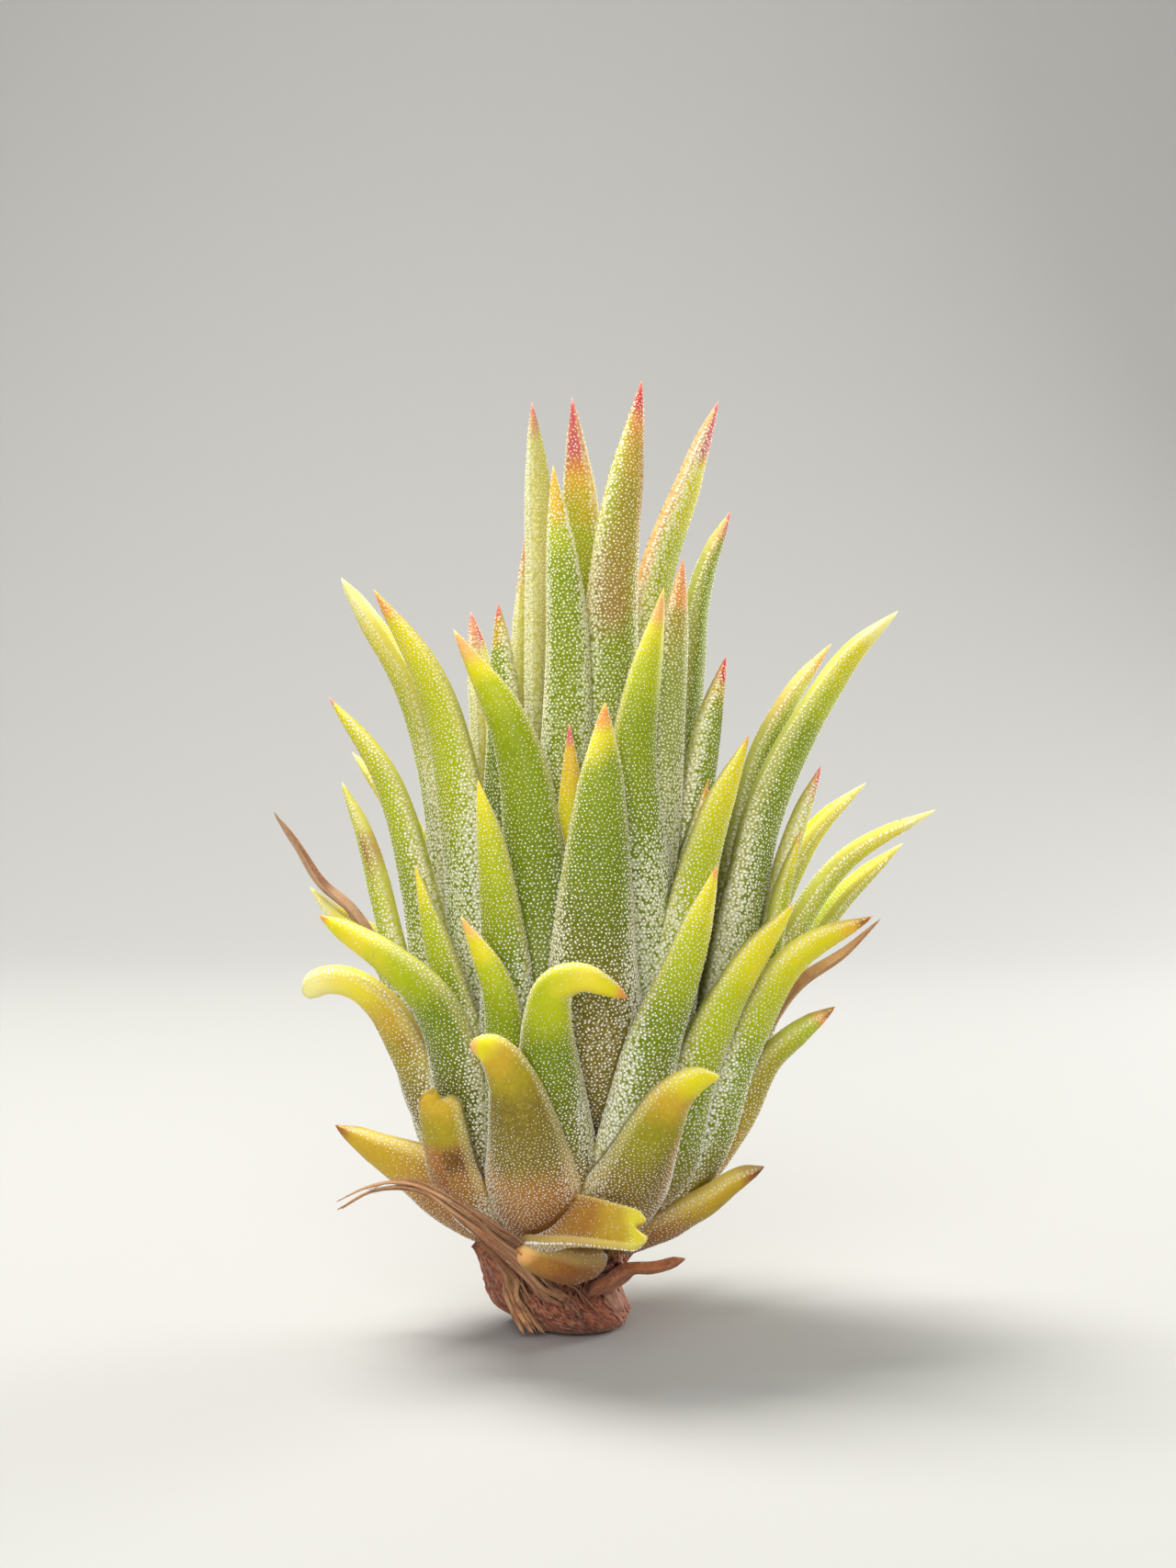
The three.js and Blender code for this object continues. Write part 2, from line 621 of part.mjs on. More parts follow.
function drySheathGeometry() {
  const outline = DRY_SHEATH.map(([radius, height]) => new THREE.Vector2(radius, height));
  const geometry = new THREE.LatheGeometry(outline, 14);
  geometry.rotateX(Math.PI / 2);
  const points = geometry.attributes.position;
  for (let i = 0; i < points.count; i++) {
    const x = points.getX(i);
    const y = points.getY(i);
    const z = points.getZ(i);
    const turn = Math.atan2(y, x);
    const fold = 1 + 0.05 * smooth(z / 2) * Math.sin(DRY_FOLDS * turn);
    const left = 0.5 - 0.5 * Math.cos(turn + 0.5); // it stands higher on the left
    const lift = z > 2 ? 0.35 * (z - 2) * left : 0;
    const rise = smooth(z / SHEATH_CENTRE_FROM);
    points.setXYZ(
      i,
      x * fold + mix(SPOT_CENTRE[0], SHEATH_CENTRE[0], rise),
      y * fold + mix(SPOT_CENTRE[1], SHEATH_CENTRE[1], rise),
      z + lift,
    );
  }
  return geometry;
}

function fuse(solids) {
  return solids.reduce((all, one) => all.add(one));
}

function addRear(group) {
  const leaves = group.leaves.map((row) => rearLeaf(group, row));
  const fused = (grow) => fuse(leaves.map((leaf) => solid(leafGeometry(leaf, grow))));
  add(group.name, group.hue, fused(0), fused(GAP));
}

function addStem() {
  const fused = (grow) => fuse([solid(stemGeometry(grow)), solid(rootGeometry(grow))]);
  add("stem", "stem", fused(0), fused(GAP));
}

function addDrySheath() {
  const strips = STRIPS.map((strip) => solid(leafGeometry(strip)));
  const raw = fuse([solid(drySheathGeometry()), ...strips]);
  add("dry_sheath", "brown", raw, raw);
}

// From the heart outwards, so that each leaf wraps round what grows above it
addStem();
const growing = [
  ...LEAVES.map((leaf) => [leaf.seat, () => addLeaf(leaf)]),
  ...REAR.map((group) => [group.seat, () => addRear(group)]),
  ...DRY.map((leaf) => [leaf.seat, () => addLeaf(leaf)]),
];
growing.sort((a, b) => b[0] - a[0]);
for (const [, grow] of growing) grow();
addDrySheath();

export default plant;
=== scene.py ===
"""The looks of a small ionantha air plant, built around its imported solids.

Lengths in the tables are in millimetres, in the frame of the solids: +Z up, -Y the plant's front.
Each leaf is made again as a fine surface on the path and section that its solid has, with its
scales, the pale hairs that cover it, as small solids of their own.
"""
import math
import zlib
from dataclasses import dataclass

import bpy
import numpy as np
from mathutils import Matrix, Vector
from mathutils.bvhtree import BVHTree

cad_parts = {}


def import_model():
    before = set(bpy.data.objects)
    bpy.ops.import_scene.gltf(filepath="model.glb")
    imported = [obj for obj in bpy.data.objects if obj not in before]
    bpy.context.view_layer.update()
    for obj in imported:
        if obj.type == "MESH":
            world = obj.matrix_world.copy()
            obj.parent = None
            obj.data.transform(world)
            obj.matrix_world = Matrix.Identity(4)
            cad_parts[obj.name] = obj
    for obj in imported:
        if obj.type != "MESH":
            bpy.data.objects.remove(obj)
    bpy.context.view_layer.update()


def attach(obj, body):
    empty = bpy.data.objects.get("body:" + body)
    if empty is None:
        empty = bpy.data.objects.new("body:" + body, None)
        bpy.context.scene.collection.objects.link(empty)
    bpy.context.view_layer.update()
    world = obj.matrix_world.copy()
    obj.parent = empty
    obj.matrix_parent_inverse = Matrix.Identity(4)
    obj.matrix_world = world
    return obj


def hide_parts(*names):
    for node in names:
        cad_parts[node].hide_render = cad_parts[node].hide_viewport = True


MM = 0.001

# The camera, as in the photograph: 1280 x 1707 pixels, upright
VIEW_DISTANCE = 180.0
VIEW_DOWN = math.radians(2.0)
VIEW_TARGET = (1.87, 0.0, 39.3)
LENS = 2700.0 / 1707.0 * 36.0

# The plant's form, as in its solids
LEAN = 0.07
GAP = 0.3
# The stem's ends and radii
STEM_FOOT = 3.6
STEM_TOP = 16.5
STEM_FOOT_RADIUS = 3.1
STEM_TOP_RADIUS = 0.9
SHEATH_THICK = 0.95
BLADE_THICK = 1.7
EDGE_THICK = 0.6
SHEATH_ARCH = 0.42
BLADE_ARCH = 0.78
FOOT_WIDTH = 0.4
REAR_SPREAD = (0.42, 0.58, 0.77, 1.0)
REAR_RISE = (0.22, 0.58, 0.84, 1.0)

# How finely a leaf is made
RINGS = 42
HOOK_RINGS = 56
BACK_POINTS = 17
CHANNEL_POINTS = 9
FRAME_STEPS = 144
HOOK_FROM = 0.9  # a tip that closes beyond here is a hook, and gets more rings
BACK_TURN = np.linspace(-math.pi / 2, math.pi / 2, BACK_POINTS)
CHANNEL_TURN = np.linspace(math.pi / 2, -math.pi / 2, CHANNEL_POINTS)

# Scales
SCALE_REACH = 0.36  # a scale's radius against the spacing of its leaf
SCALE_HEIGHT = 0.05
SCALE_LEAN = 0.3
REAR_SPACING = 1.35  # scales lie wider apart on the leaves behind
HAIR_SPACING = 0.24
HAIR_RADIUS = 0.1
HAIR_HEIGHT = 0.2
HAIR_LEAN = 0.8
SCALE_CORNERS = 4


def srgb(red, green, blue):
    """A colour given in 0 to 255 as seen, as linear values"""
    def linear(value):
        value /= 255.0
        return value / 12.92 if value <= 0.04045 else ((value + 0.055) / 1.055) ** 2.4
    return (linear(red), linear(green), linear(blue), 1.0)


# Colours of the flesh between the scales, as seen in plain light
COLORS = dict(
    bronze=(126, 108, 36), moss=(104, 112, 10), grass=(112, 134, 4), green=(134, 154, 4),
    sage=(148, 158, 68), lime=(180, 190, 14), sun=(226, 214, 30), glow=(234, 218, 60),
    ivory=(214, 212, 92), olive=(166, 148, 34), gold=(232, 186, 50), apricot=(232, 152, 76),
    peach=(238, 178, 112), salmon=(226, 128, 106), pink=(218, 94, 118), rose=(214, 52, 84),
    plum=(164, 124, 66), fawn=(178, 124, 60), honey=(200, 164, 46), khaki=(150, 142, 28),
    russet=(156, 88, 46), umber=(92, 48, 20), maroon=(112, 46, 38), cream=(244, 236, 158),
)
SHEATH_TAN = (170, 110, 58)
VEIN_GREEN = (100, 104, 24)
RIM_CREAM = (240, 226, 150)
GRAIN_YELLOW = (236, 224, 70)
# painted shade in the gaps of the scale bed
GAP_SHADE = (196, 196, 150)
POWDER = (236, 233, 196)
CRUMB_PINK = (226, 186, 156)


def look(slot, spacing, scales, stops, patches=(), lining=None):
    """A leaf's finish: the scales' spacing, how thickly they lie low down and high up, colours at
    hundredths of its length, patches as (colour, strength, from, to, from and to across), and what
    colour the channel turns towards the tip"""
    pairs = [stop.split() for stop in stops.split(", ")]
    stops = [(float(place) / 100, color) for color, place in pairs]
    return {"slot": "leaf_" + slot, "spacing": spacing, "scales": scales, "stops": stops,
            "patches": patches, "lining": lining}


LOOKS = dict(
    blush=look("orange", 0.3, (1.2, 1.1), "sage 50, green 68, lime 80, gold 88, apricot 91.5, pink 95",
        [("pink", 0.7, 0.84, 1, 0.6, 1)]),
    ivory=look("pale", 0.29, (1.3, 1.1), "sage 40, ivory 65, ivory 93, pink 98"),
    plum=look("olive", 0.3, (1.3, 0.9),
        "sage 45, green 66, olive 76, olive 83, honey 89, apricot 94, rose 97.5",
        [("lime", 0.6, 0.74, 0.94, -0.2, -0.9), ("plum", 0.8, 0.62, 0.75, 0.5, 0),
        ("apricot", 0.75, 0.76, 1, 0.35, 0.9)]),
    rose=look("pink", 0.3, (1.2, 0.9), "sage 40, green 62, lime 76, sun 87, pink 93",
        [("salmon", 0.8, 0.5, 1, -0.96, -1)], lining="salmon"),
    olive=look("olive", 0.3, (1.3, 1), "sage 40, ivory 70, ivory 90, pink 98"),
    fresh=look("green", 0.3, (1.4, 1), "sage 40, green 60, green 80, lime 90, gold 95.5, apricot 98.5"),
    grey=look("pale", 0.3, (0.95, 0.6), "sage 35, grass 60, green 92, pink 98",
        [("peach", 0.5, 0.86, 1, -0.7, -1)], lining="grass"),
    silver=look("silver", 0.29, (1.9, 0.9), "sage 40, sage 78, olive 87, apricot 94, pink 98"),
    magenta=look("pink", 0.3, (1.4, 1), "sage 40, grass 65, green 89, honey 94, rose 96.5"),
    gold=look("orange", 0.33, (0.8, 0.4), "lime 50, sun 80, gold 93, pink 98"),
    lime=look("yellow", 0.3, (1.7, 0.55), "sage 35, green 55, lime 76, sun 95, apricot 99"),
    smooth_lime=look("yellow", 0.31, (1.4, 0.3),
        "grass 35, green 56, lime 72, sun 86, glow 97, peach 99"),
    deep_smooth=look("yellow", 0.31, (1.1, 0.28),
        "sage 35, grass 58, green 76, lime 87, sun 94, peach 98.5"),
    deep_lime=look("yellow", 0.3, (1.9, 0.4),
        "sage 35, grass 58, green 76, lime 87, sun 94, peach 98.5"),
    pale_lime=look("pale", 0.3, (1.5, 0.6), "sage 35, green 56, lime 75, sun 92, cream 98.5",
        [("cream", 0.6, 0.93, 1, -0.2, 0.2)]),
    flushed=look("pale", 0.3, (1.2, 0.6), "sage 35, grass 60, green 80, ivory 92, peach 98.5",
        [("peach", 0.45, 0.8, 0.95, -0.9, -1)]),
    freckled=look("pale", 0.3, (1.2, 0.5), "sage 35, grass 60, green 75, lime 83, sun 91, cream 97",
        [("apricot", 0.5, 0.88, 0.92, 0.1, 0.7)]),
    pink_tip=look("silver", 0.3, (1.5, 0.7), "sage 35, green 55, lime 78, sun 93, pink 97.5"),
    bitten=look("pale", 0.31, (1.5, 0.6), "sage 35, green 55, lime 78, ivory 97",
        [("russet", 0.9, 0.8, 0.88, 0.4, 0.8)]),
    leafy=look("green", 0.3, (1.5, 0.5), "sage 35, grass 64, lime 83, sun 95, apricot 99"),
    # the bronze and moss low down are partly the leaf's own olive-brown and partly painted shade, where the
    # leaves in front shadow it
    broad=look("green", 0.3, (1.2, 0.58),
        "bronze 30, bronze 48, moss 62, grass 76, green 88, sun 95, apricot 99"),
    hook=look("yellow", 0.29, (1.25, 0.18),
        "fawn 20, bronze 36, moss 54, grass 70, lime 83, glow 92, sun 97.5, apricot 99.5"),
    olive_hook=look("silver", 0.29, (1.35, 0.18),
        "fawn 25, bronze 42, bronze 58, khaki 74, honey 83, sun 89, glow 96, apricot 99.5",
        [("fawn", 0.7, 0.1, 0.7, 0.3, 0.8)]),
    dry_tip=look("yellow", 0.31, (1.4, 0.2),
        "grass 35, green 56, lime 70, sun 88, gold 95.5, russet 98.5"),
    blunt_hook=look("orange", 0.3, (1.4, 0.15),
        "fawn 30, bronze 50, olive 64, honey 74, glow 84, cream 97",
        [("russet", 0.6, 0.6, 0.66, 0.2, 0.9)]),
    tan_hook=look("tan", 0.28, (1.3, 0.15),
        "fawn 30, fawn 50, bronze 62, bronze 76, olive 85, honey 91, sun 94.5, peach 97.5",
        [("peach", 0.4, 0.1, 0.6, 0.75, 1), ("peach", 0.4, 0.1, 0.6, -0.75, -1)]),
    snapped=look("tan", 0.28, (1.5, 0.4), "fawn 40, fawn 80, honey 87, glow 93, glow 97, russet 99.5"),
    torn=look("yellow", 0.28, (1.9, 0.2), "fawn 40, fawn 78, olive 84, honey 93, honey 98",
        [("russet", 0.6, 0.56, 0.78, -0.3, 0.3), ("umber", 0.85, 0.66, 0.78, 0, 0.4),
        ("umber", 0.8, 0.88, 0.95, -0.5, -0.8)]),
    amber=look("orange", 0.31, (0.9, 0.15),
        "fawn 30, fawn 50, honey 72, honey 90, russet 96, maroon 99"),
    peachy=look("orange", 0.31, (0.4, 0), "russet 30, russet 70, fawn 86, peach 97"),
    foot=look("green", 0.32, (1.2, 0.3),
        "fawn 30, honey 50, olive 70, lime 92, apricot 96, russet 98.5"),
    cream=look("pale", 0.32, (1.2, 0.35), "sage 35, green 55, lime 72, sun 88, cream 98"),
)


@dataclass
class Leaf:
    """One leaf: its look, seat on the stem, greatest width, path and what departs from the usual form"""
    look: str
    seat: float
    wide: float
    path: list
    taper: float = 0.52
    widest: float = 0.24
    blunt: float = 0.0
    roll: float = 0.0
    twist: float = 0.0
    thick: float = None
    arch: float = None
    foot: tuple = None
    sections: int = 6
    gather: float = 1.15
    notch: tuple = None
    name: str = ""

    @property
    def point_from(self):
        """The share of its length where its point begins"""
        return 1 - (1 / self.sections) ** self.gather

    @property
    def seed(self):
        return zlib.crc32(self.name.encode())


# The leaves in front, in the order of their numbers
LEAVES = {"crown_leaf": [
    Leaf("blush", 15.5, 5, [(1.9, 3, 30), (1.9, 3.4, 44), (1.6, 3.6, 56), (0.7, 3, 67.6)], taper=0.4),
    Leaf("ivory", 15, 5.6, [(-1.1, 0.4, 30), (-1.6, 0.2, 44), (-1.7, 0.5, 56), (-2.2, 1, 67)], roll=-0.4),
    Leaf("plum", 14.6, 6.2, [(3, -4.6, 30), (3.6, -5.6, 44), (4, -5, 56), (5.7, -2, 68.2)]),
    Leaf("rose", 14.6, 8.2, [(6, -0.4, 30), (6.2, -1, 44), (7.1, -1.2, 54), (9.2, -0.9, 61), (11.3, 0, 67)],
         taper=0.64, roll=-0.2),
    Leaf("olive", 13.8, 3.8, [(-2.8, 1.8, 28), (-3.1, 2.2, 40), (-3.1, 2.4, 49), (-2.7, 2.4, 57.6)],
         sections=5),
    Leaf("fresh", 13.4, 5.2, [(0.2, -6, 28), (0.3, -7.2, 40), (0.4, -6.8, 50), (-0.6, -4, 62)]),
    Leaf("grey", 13, 6.4, [(7.8, 1, 26), (9, 1.4, 38), (9.5, 1.6, 47), (10.2, 1.8, 54), (12.3, 2, 59.2)],
         taper=0.46, roll=-0.2),
], "inner_leaf": [
    Leaf("silver", 12.4, 5.8, [(5.6, -6.6, 24), (6.8, -8.2, 36), (7.5, -7.2, 46), (8.6, -4, 55.4)]),
    Leaf("magenta", 12, 6, [(-3.5, -3.4, 24), (-4.4, -4.4, 35), (-4.2, -4, 44), (-4.5, -3, 52.3)],
         sections=5),
    Leaf("ivory", 11.6, 6.2, [(-5.4, 3.2, 24), (-5.9, 4, 36), (-6, 5, 45), (-6.9, 6, 52)], taper=0.46,
         sections=5),
    Leaf("magenta", 11.4, 5.4, [(8, -4.6, 22), (9, -5.6, 33), (10.2, -4.6, 42), (11.7, -3, 48.5)]),
    Leaf("gold", 11, 4.6, [(0.2, -8, 22), (0.5, -9.4, 32), (0.7, -9.4, 38), (0.6, -9.2, 43.8)], taper=0.6),
    Leaf("deep_lime", 10.6, 5.8, [(5, -9.4, 22), (5.7, -11, 33), (5.1, -10.6, 42), (7.1, -8, 53.2)]),
    Leaf("deep_smooth", 10.4, 6.2, [(-1.8, -9.6, 22), (-1.9, -11.2, 34), (-3.3, -10.8, 43),
         (-7.4, -9, 50.3)]),
    Leaf("pale_lime", 10.2, 5.6, [(-8.4, 1.6, 24), (-9.3, 3, 37), (-11.5, 4.4, 46), (-16.5, 5, 54.5)],
         taper=0.36, sections=8),
    Leaf("flushed", 10, 5.6, [(11, -0.8, 23), (13, -1.2, 35), (14.2, -1, 41), (16.4, -0.6, 45.4),
         (19.5, 0, 49.5)]),
    Leaf("fresh", 9.6, 3.6, [(7, -7, 20), (8.4, -7.6, 31), (9.4, -7.2, 36), (10.3, -7, 40)], sections=5),
], "middle_leaf": [
    Leaf("lime", 9.8, 6.6, [(-5.8, -6, 20), (-7, -6.4, 34), (-9.1, -5, 46), (-13.4, -3, 53.3)], taper=0.62),
    Leaf("freckled", 9.6, 6, [(10.8, -4.8, 20), (13.4, -5.4, 31), (14.6, -5, 37), (17.2, -4, 43),
         (20.4, -3, 48.2), (24.1, -2, 51.8)]),
    Leaf("leafy", 9.4, 5.2, [(-3.6, -9.6, 17), (-3.9, -12.2, 28), (-4.7, -12.4, 35.6), (-5.6, -11.5, 40)]),
    Leaf("lime", 9.2, 5.2, [(6.6, -9, 18), (8.6, -10.4, 29), (10.3, -10, 36.4), (13, -8.5, 43)]),
    Leaf("cream", 9, 5.4, [(12, 3, 18), (15.4, 4.6, 28.6), (18.7, 6, 35.2), (22.8, 6.5, 39.2)], taper=0.6),
    Leaf("pink_tip", 8.8, 5.6, [(-8.2, -4.6, 18), (-10.3, -6, 32), (-12.3, -5.6, 39.6), (-16.5, -4, 45.6)],
         taper=0.62),
    Leaf("broad", 8.6, 8, [(2.6, -11.4, 17), (2.4, -15, 28), (2.7, -14.6, 37), (3, -13, 45.3)]),
    Leaf("olive", 8.4, 4.8, [(11, -2.4, 17), (14.6, -3, 28), (16.4, -2.8, 35), (18.6, -2, 40.7)]),
    Leaf("leafy", 8.2, 3.6, [(12, -4.8, 17), (14.8, -5.4, 27.6), (15.8, -5.2, 32.5), (17, -4.5, 36.3)],
         sections=5),
    Leaf("bitten", 8, 5, [(-10, -0.6, 15), (-12.1, -1.8, 27), (-13.8, -1.6, 34.4), (-15.9, -1, 39.5)]),
], "outer_leaf": [
    Leaf("pale_lime", 7.8, 4.6, [(11.2, 4.4, 14), (16.9, 6.4, 24.7), (21, 7.2, 30.2), (25.7, 7.4, 34.6)]),
    Leaf("cream", 7.6, 5.4, [(11, 0, 14), (15.8, -0.4, 26.4), (20.4, 0, 33.6), (27.4, 1.5, 37.4)],
         taper=0.62),
    Leaf("leafy", 7.4, 4.2, [(-5.6, -8.8, 14), (-7, -10, 23), (-8.8, -9.6, 29.4), (-10.1, -8.6, 34)],
         sections=5),
    Leaf("pale_lime", 7.2, 5, [(-9.2, 2.4, 12), (-11.6, 3.2, 22), (-14, 3.4, 27.4), (-16.6, 3.2, 29.2),
         (-18.7, 3, 31.6)]),
    Leaf("leafy", 7.1, 5.6, [(4.6, -11.4, 13), (6.4, -14.8, 22), (8.6, -14.6, 28.4), (10.6, -13, 34.3)]),
    Leaf("deep_smooth", 7, 4.8, [(-3.2, -11.4, 13), (-3.6, -13.4, 21), (-4.2, -13.8, 26),
         (-6.7, -13.2, 30.9)]),
    Leaf("smooth_lime", 6.8, 5.2, [(7.4, -9.2, 12), (9.7, -11.6, 20.6), (12.4, -11.4, 26.6),
         (16.1, -9.8, 31.5)]),
    Leaf("dry_tip", 6.6, 5.4, [(9.2, -6.4, 11), (12.8, -8.6, 21), (16.2, -8.4, 27.3), (21.8, -7, 30.3)]),
    Leaf("hook", 6.4, 5.6, [(-6.2, -7.6, 10), (-7.2, -11.2, 19), (-8.8, -12.4, 24.6), (-11.6, -12.2, 27.6),
         (-14.6, -11.2, 29.5), (-16.6, -10.4, 30.7)], sections=9, gather=1.3),
    Leaf("hook", 6.2, 6.4, [(0, -9.6, 10), (-0.6, -15, 18), (-0.8, -17.6, 24.4), (-0.2, -18.6, 26.7),
         (1.4, -19, 27.3), (2.9, -18.8, 26.8), (4.5, -18, 25.9)], taper=0.6, sections=11, gather=1.5),
    Leaf("blunt_hook", 6, 5.4, [(-6.2, -4.8, 10), (-9.3, -7.2, 16.5), (-11, -8, 21), (-12.6, -8, 24),
         (-14.6, -8, 25.6), (-16.6, -7.6, 25.7), (-18, -7, 24.7)], taper=0.8, blunt=0.32, sections=10,
         gather=1.4),
], "basal_leaf": [
    Leaf("foot", 5.8, 5.8, [(8, -3, 9), (12.4, -4.4, 14.8), (15, -4.4, 20), (19.5, -4, 23.6)]),
    Leaf("olive_hook", 5.6, 6.6, [(3.6, -8.2, 8.4), (5.2, -13.6, 12.6), (6.6, -16.4, 17),
         (7.7, -17.1, 19.3), (9, -17.3, 20.3), (10.6, -17, 20.6)], widest=0.42, taper=0.7, blunt=0.1,
         sections=9, gather=1.3),
    Leaf("tan_hook", 5.4, 6.8, [(-1.6, -8.2, 8), (-2.1, -13.2, 12), (-2.6, -16.4, 17.2),
         (-3.3, -17.4, 20.6), (-4.4, -17.6, 22.3), (-5.9, -17.2, 22.8)], widest=0.48, taper=0.9, blunt=0.25,
         sections=9, gather=1.3),
    Leaf("torn", 5.2, 4.4, [(-5, -6.4, 8), (-7.3, -11, 12), (-8.1, -12.6, 16), (-8.5, -13.2, 19.2)],
         widest=0.45, taper=1, blunt=0.72, sections=8, gather=1.4, notch=(0.3, 0.9, 0.9)),
    Leaf("amber", 5.1, 6.8, [(-5.2, -2.4, 7.2), (-8, -3.2, 9.2), (-10.2, -3.6, 11), (-12.6, -3.4, 12.7),
         (-16.3, -2.8, 14.9)], roll=0.6, widest=0.4, taper=0.8),
    Leaf("amber", 5, 4.8, [(6, -4, 6.9), (10, -7, 10), (12, -8, 11.8), (14.2, -8, 12.9)], widest=0.32),
    Leaf("snapped", 4.8, 5, [(0, -7.4, 7), (0.2, -11.4, 9), (1.3, -14.2, 10), (3.4, -15.6, 10.2),
         (6, -15.4, 9.8)], widest=0.4, taper=0.8, blunt=0.5, twist=1.4, sections=9, gather=1.3,
         notch=(0.2, 1, 0.7)),
    Leaf("peachy", 4.4, 5, [(0.9, -6.8, 5.2), (-0.5, -9.8, 6.2), (-3, -11, 7.8)], widest=0.5, blunt=0.3),
]}

# The leaves behind, in groups: seat, width, sections, looks in turn, and (turn, reach, height) rows
REAR = [
    (13, 5.2, 5, "ivory blush fresh", [(55, 8.5, 53), (95, 9, 54), (135, 8.5, 51)]),
    (11, 5.4, 5, "grey magenta lime silver", [(52, 12, 46), (80, 12.5, 47), (108, 12.5, 46),
     (136, 12, 44)]),
    (9, 5.4, 5, "lime leafy pale_lime", [(28, 15.5, 40), (52, 16, 38), (76, 17, 42)]),
    (8.5, 5.4, 5, "lime smooth_lime leafy cream", [(100, 17, 41), (121, 16.5, 40), (142, 17, 39),
     (162, 19.7, 41.5)]),
    (7.5, 5.2, 5, "smooth_lime leafy hook", [(22, 20, 29), (45, 20.5, 32), (68, 21, 30)]),
    (6.9, 5.2, 5, "hook leafy smooth_lime hook", [(92, 21, 31), (115, 20.5, 29), (138, 19, 27),
     (160, 17, 23)]),
    (5.1, 5.6, 6, "tan_hook foot amber", [(42, 15.5, 14), (80, 16.5, 15), (118, 15.5, 14)]),
]


def all_leaves():
    """Every leaf, with the group that its scales belong to and the node whose place it takes"""
    for group, leaves in LEAVES.items():
        for number, leaf in enumerate(leaves, 1):
            leaf.name = "%s_%d" % (group, number)
            yield group, leaf.name, leaf
    for number, (seat, wide, sections, looks, rows) in enumerate(REAR, 1):
        node_name = "rear_leaves_%d" % number
        for look_name, (turn, reach, height) in zip(looks.split(), rows):
            angle = math.radians(turn)
            path = []
            for spread, rise in zip(REAR_SPREAD, REAR_RISE):
                z = seat + (height - seat) * rise
                out = reach * spread
                path.append((axis_x(z) + out * math.cos(angle), out * math.sin(angle), z))
            name = "%s_%d" % (node_name, turn)
            yield "rear_leaves", node_name, Leaf(look_name, seat, wide, path, sections=sections, name=name)


# Small helpers
def mix(a, b, t):
    return a + (b - a) * t


def smooth(x):
    x = np.clip(x, 0, 1)
    return x * x * (3 - 2 * x)


def unit(vectors):
    return vectors / np.maximum(np.linalg.norm(vectors, axis=-1, keepdims=True), 1e-9)


def axis_x(z):
    return LEAN * z


def stem_radius(z):
    return mix(STEM_FOOT_RADIUS, STEM_TOP_RADIUS, np.clip((z - STEM_FOOT) / (STEM_TOP - STEM_FOOT), 0, 1))


def arc_lengths(points):
    """How far along a line each of its points is"""
    return np.concatenate([[0], np.cumsum(np.linalg.norm(np.diff(points, axis=0), axis=1))])


def curve(control, steps):
    """Points at equal steps along a centripetal Catmull-Rom curve, with tangents and its length"""
    control = np.array(control, float)
    p = np.vstack([2 * control[0] - control[1], control, 2 * control[-1] - control[-2]])
    dense = []
    t = np.linspace(0, 1, 60, endpoint=False)[:, None]
    for i in range(1, len(p) - 2):
        p0, p1, p2, p3 = p[i - 1:i + 3]
        d0, d1, d2 = (np.sum((b - a) ** 2) ** 0.25 for a, b in ((p0, p1), (p1, p2), (p2, p3)))
        start = d1 * ((p1 - p0) / d0 - (p2 - p0) / (d0 + d1) + (p2 - p1) / d1)
        end = d1 * ((p2 - p1) / d1 - (p3 - p1) / (d1 + d2) + (p3 - p2) / d2)
        dense.append(p1 + start * t + (3 * p2 - 3 * p1 - 2 * start - end) * t ** 2
                     + (2 * p1 - 2 * p2 + start + end) * t ** 3)
    dense = np.vstack(dense + [control[-1:]])
    along = arc_lengths(dense)
    wanted = np.linspace(0, along[-1], steps + 1)
    points = np.stack([np.interp(wanted, along, dense[:, k]) for k in range(3)], axis=1)
    return points, unit(np.gradient(points, axis=0)), along[-1]


def leaf_foot(leaf):
    """Where the leaf leaves the stem, on the side that its sheath leans to"""
    if leaf.foot:
        return leaf.foot
    x, y = leaf.path[0][0], leaf.path[0][1]
    turn = math.atan2(y, x - axis_x(leaf.seat))
    radius = stem_radius(leaf.seat) - GAP
    return (axis_x(leaf.seat) + radius * math.cos(turn), radius * math.sin(turn), leaf.seat)


def midrib(leaf):
    """Points, tangents and outward normals along the midrib, and its length"""
    points, tangents, length = curve([leaf_foot(leaf)] + list(leaf.path), FRAME_STEPS)
    outward = np.array([points[0][0] - axis_x(points[0][2]), points[0][1], 0.0])
    outward = unit(outward) + np.array([0, 0, -1.0])
    normals = []
    for i, tangent in enumerate(tangents):
        outward = unit(outward - tangent * outward.dot(tangent))
        angle = (leaf.roll if i == 0 else 0) + leaf.twist / FRAME_STEPS
        outward = outward * math.cos(angle) + np.cross(tangent, outward) * math.sin(angle)
        normals.append(outward)
    return points, tangents, np.array(normals), length


def half_width(leaf, s):
    fall_at = min(leaf.point_from, 0.999)

    def fall(x):
        return leaf.blunt + (1 - leaf.blunt) * ((1 - x) / (1 - leaf.widest)) ** leaf.taper

    tip_power = 0.5 if leaf.blunt > 0.2 else 0.85
    tip = fall(fall_at) * np.clip((1 - s) / (1 - fall_at), 0, 1) ** tip_power
    rise = mix(FOOT_WIDTH, 1, smooth(s / leaf.widest))
    share = np.where(s < leaf.widest, rise, np.where(s < fall_at, fall(np.minimum(s, fall_at)), tip))
    return np.maximum(leaf.wide / 2 * share, 0.03)


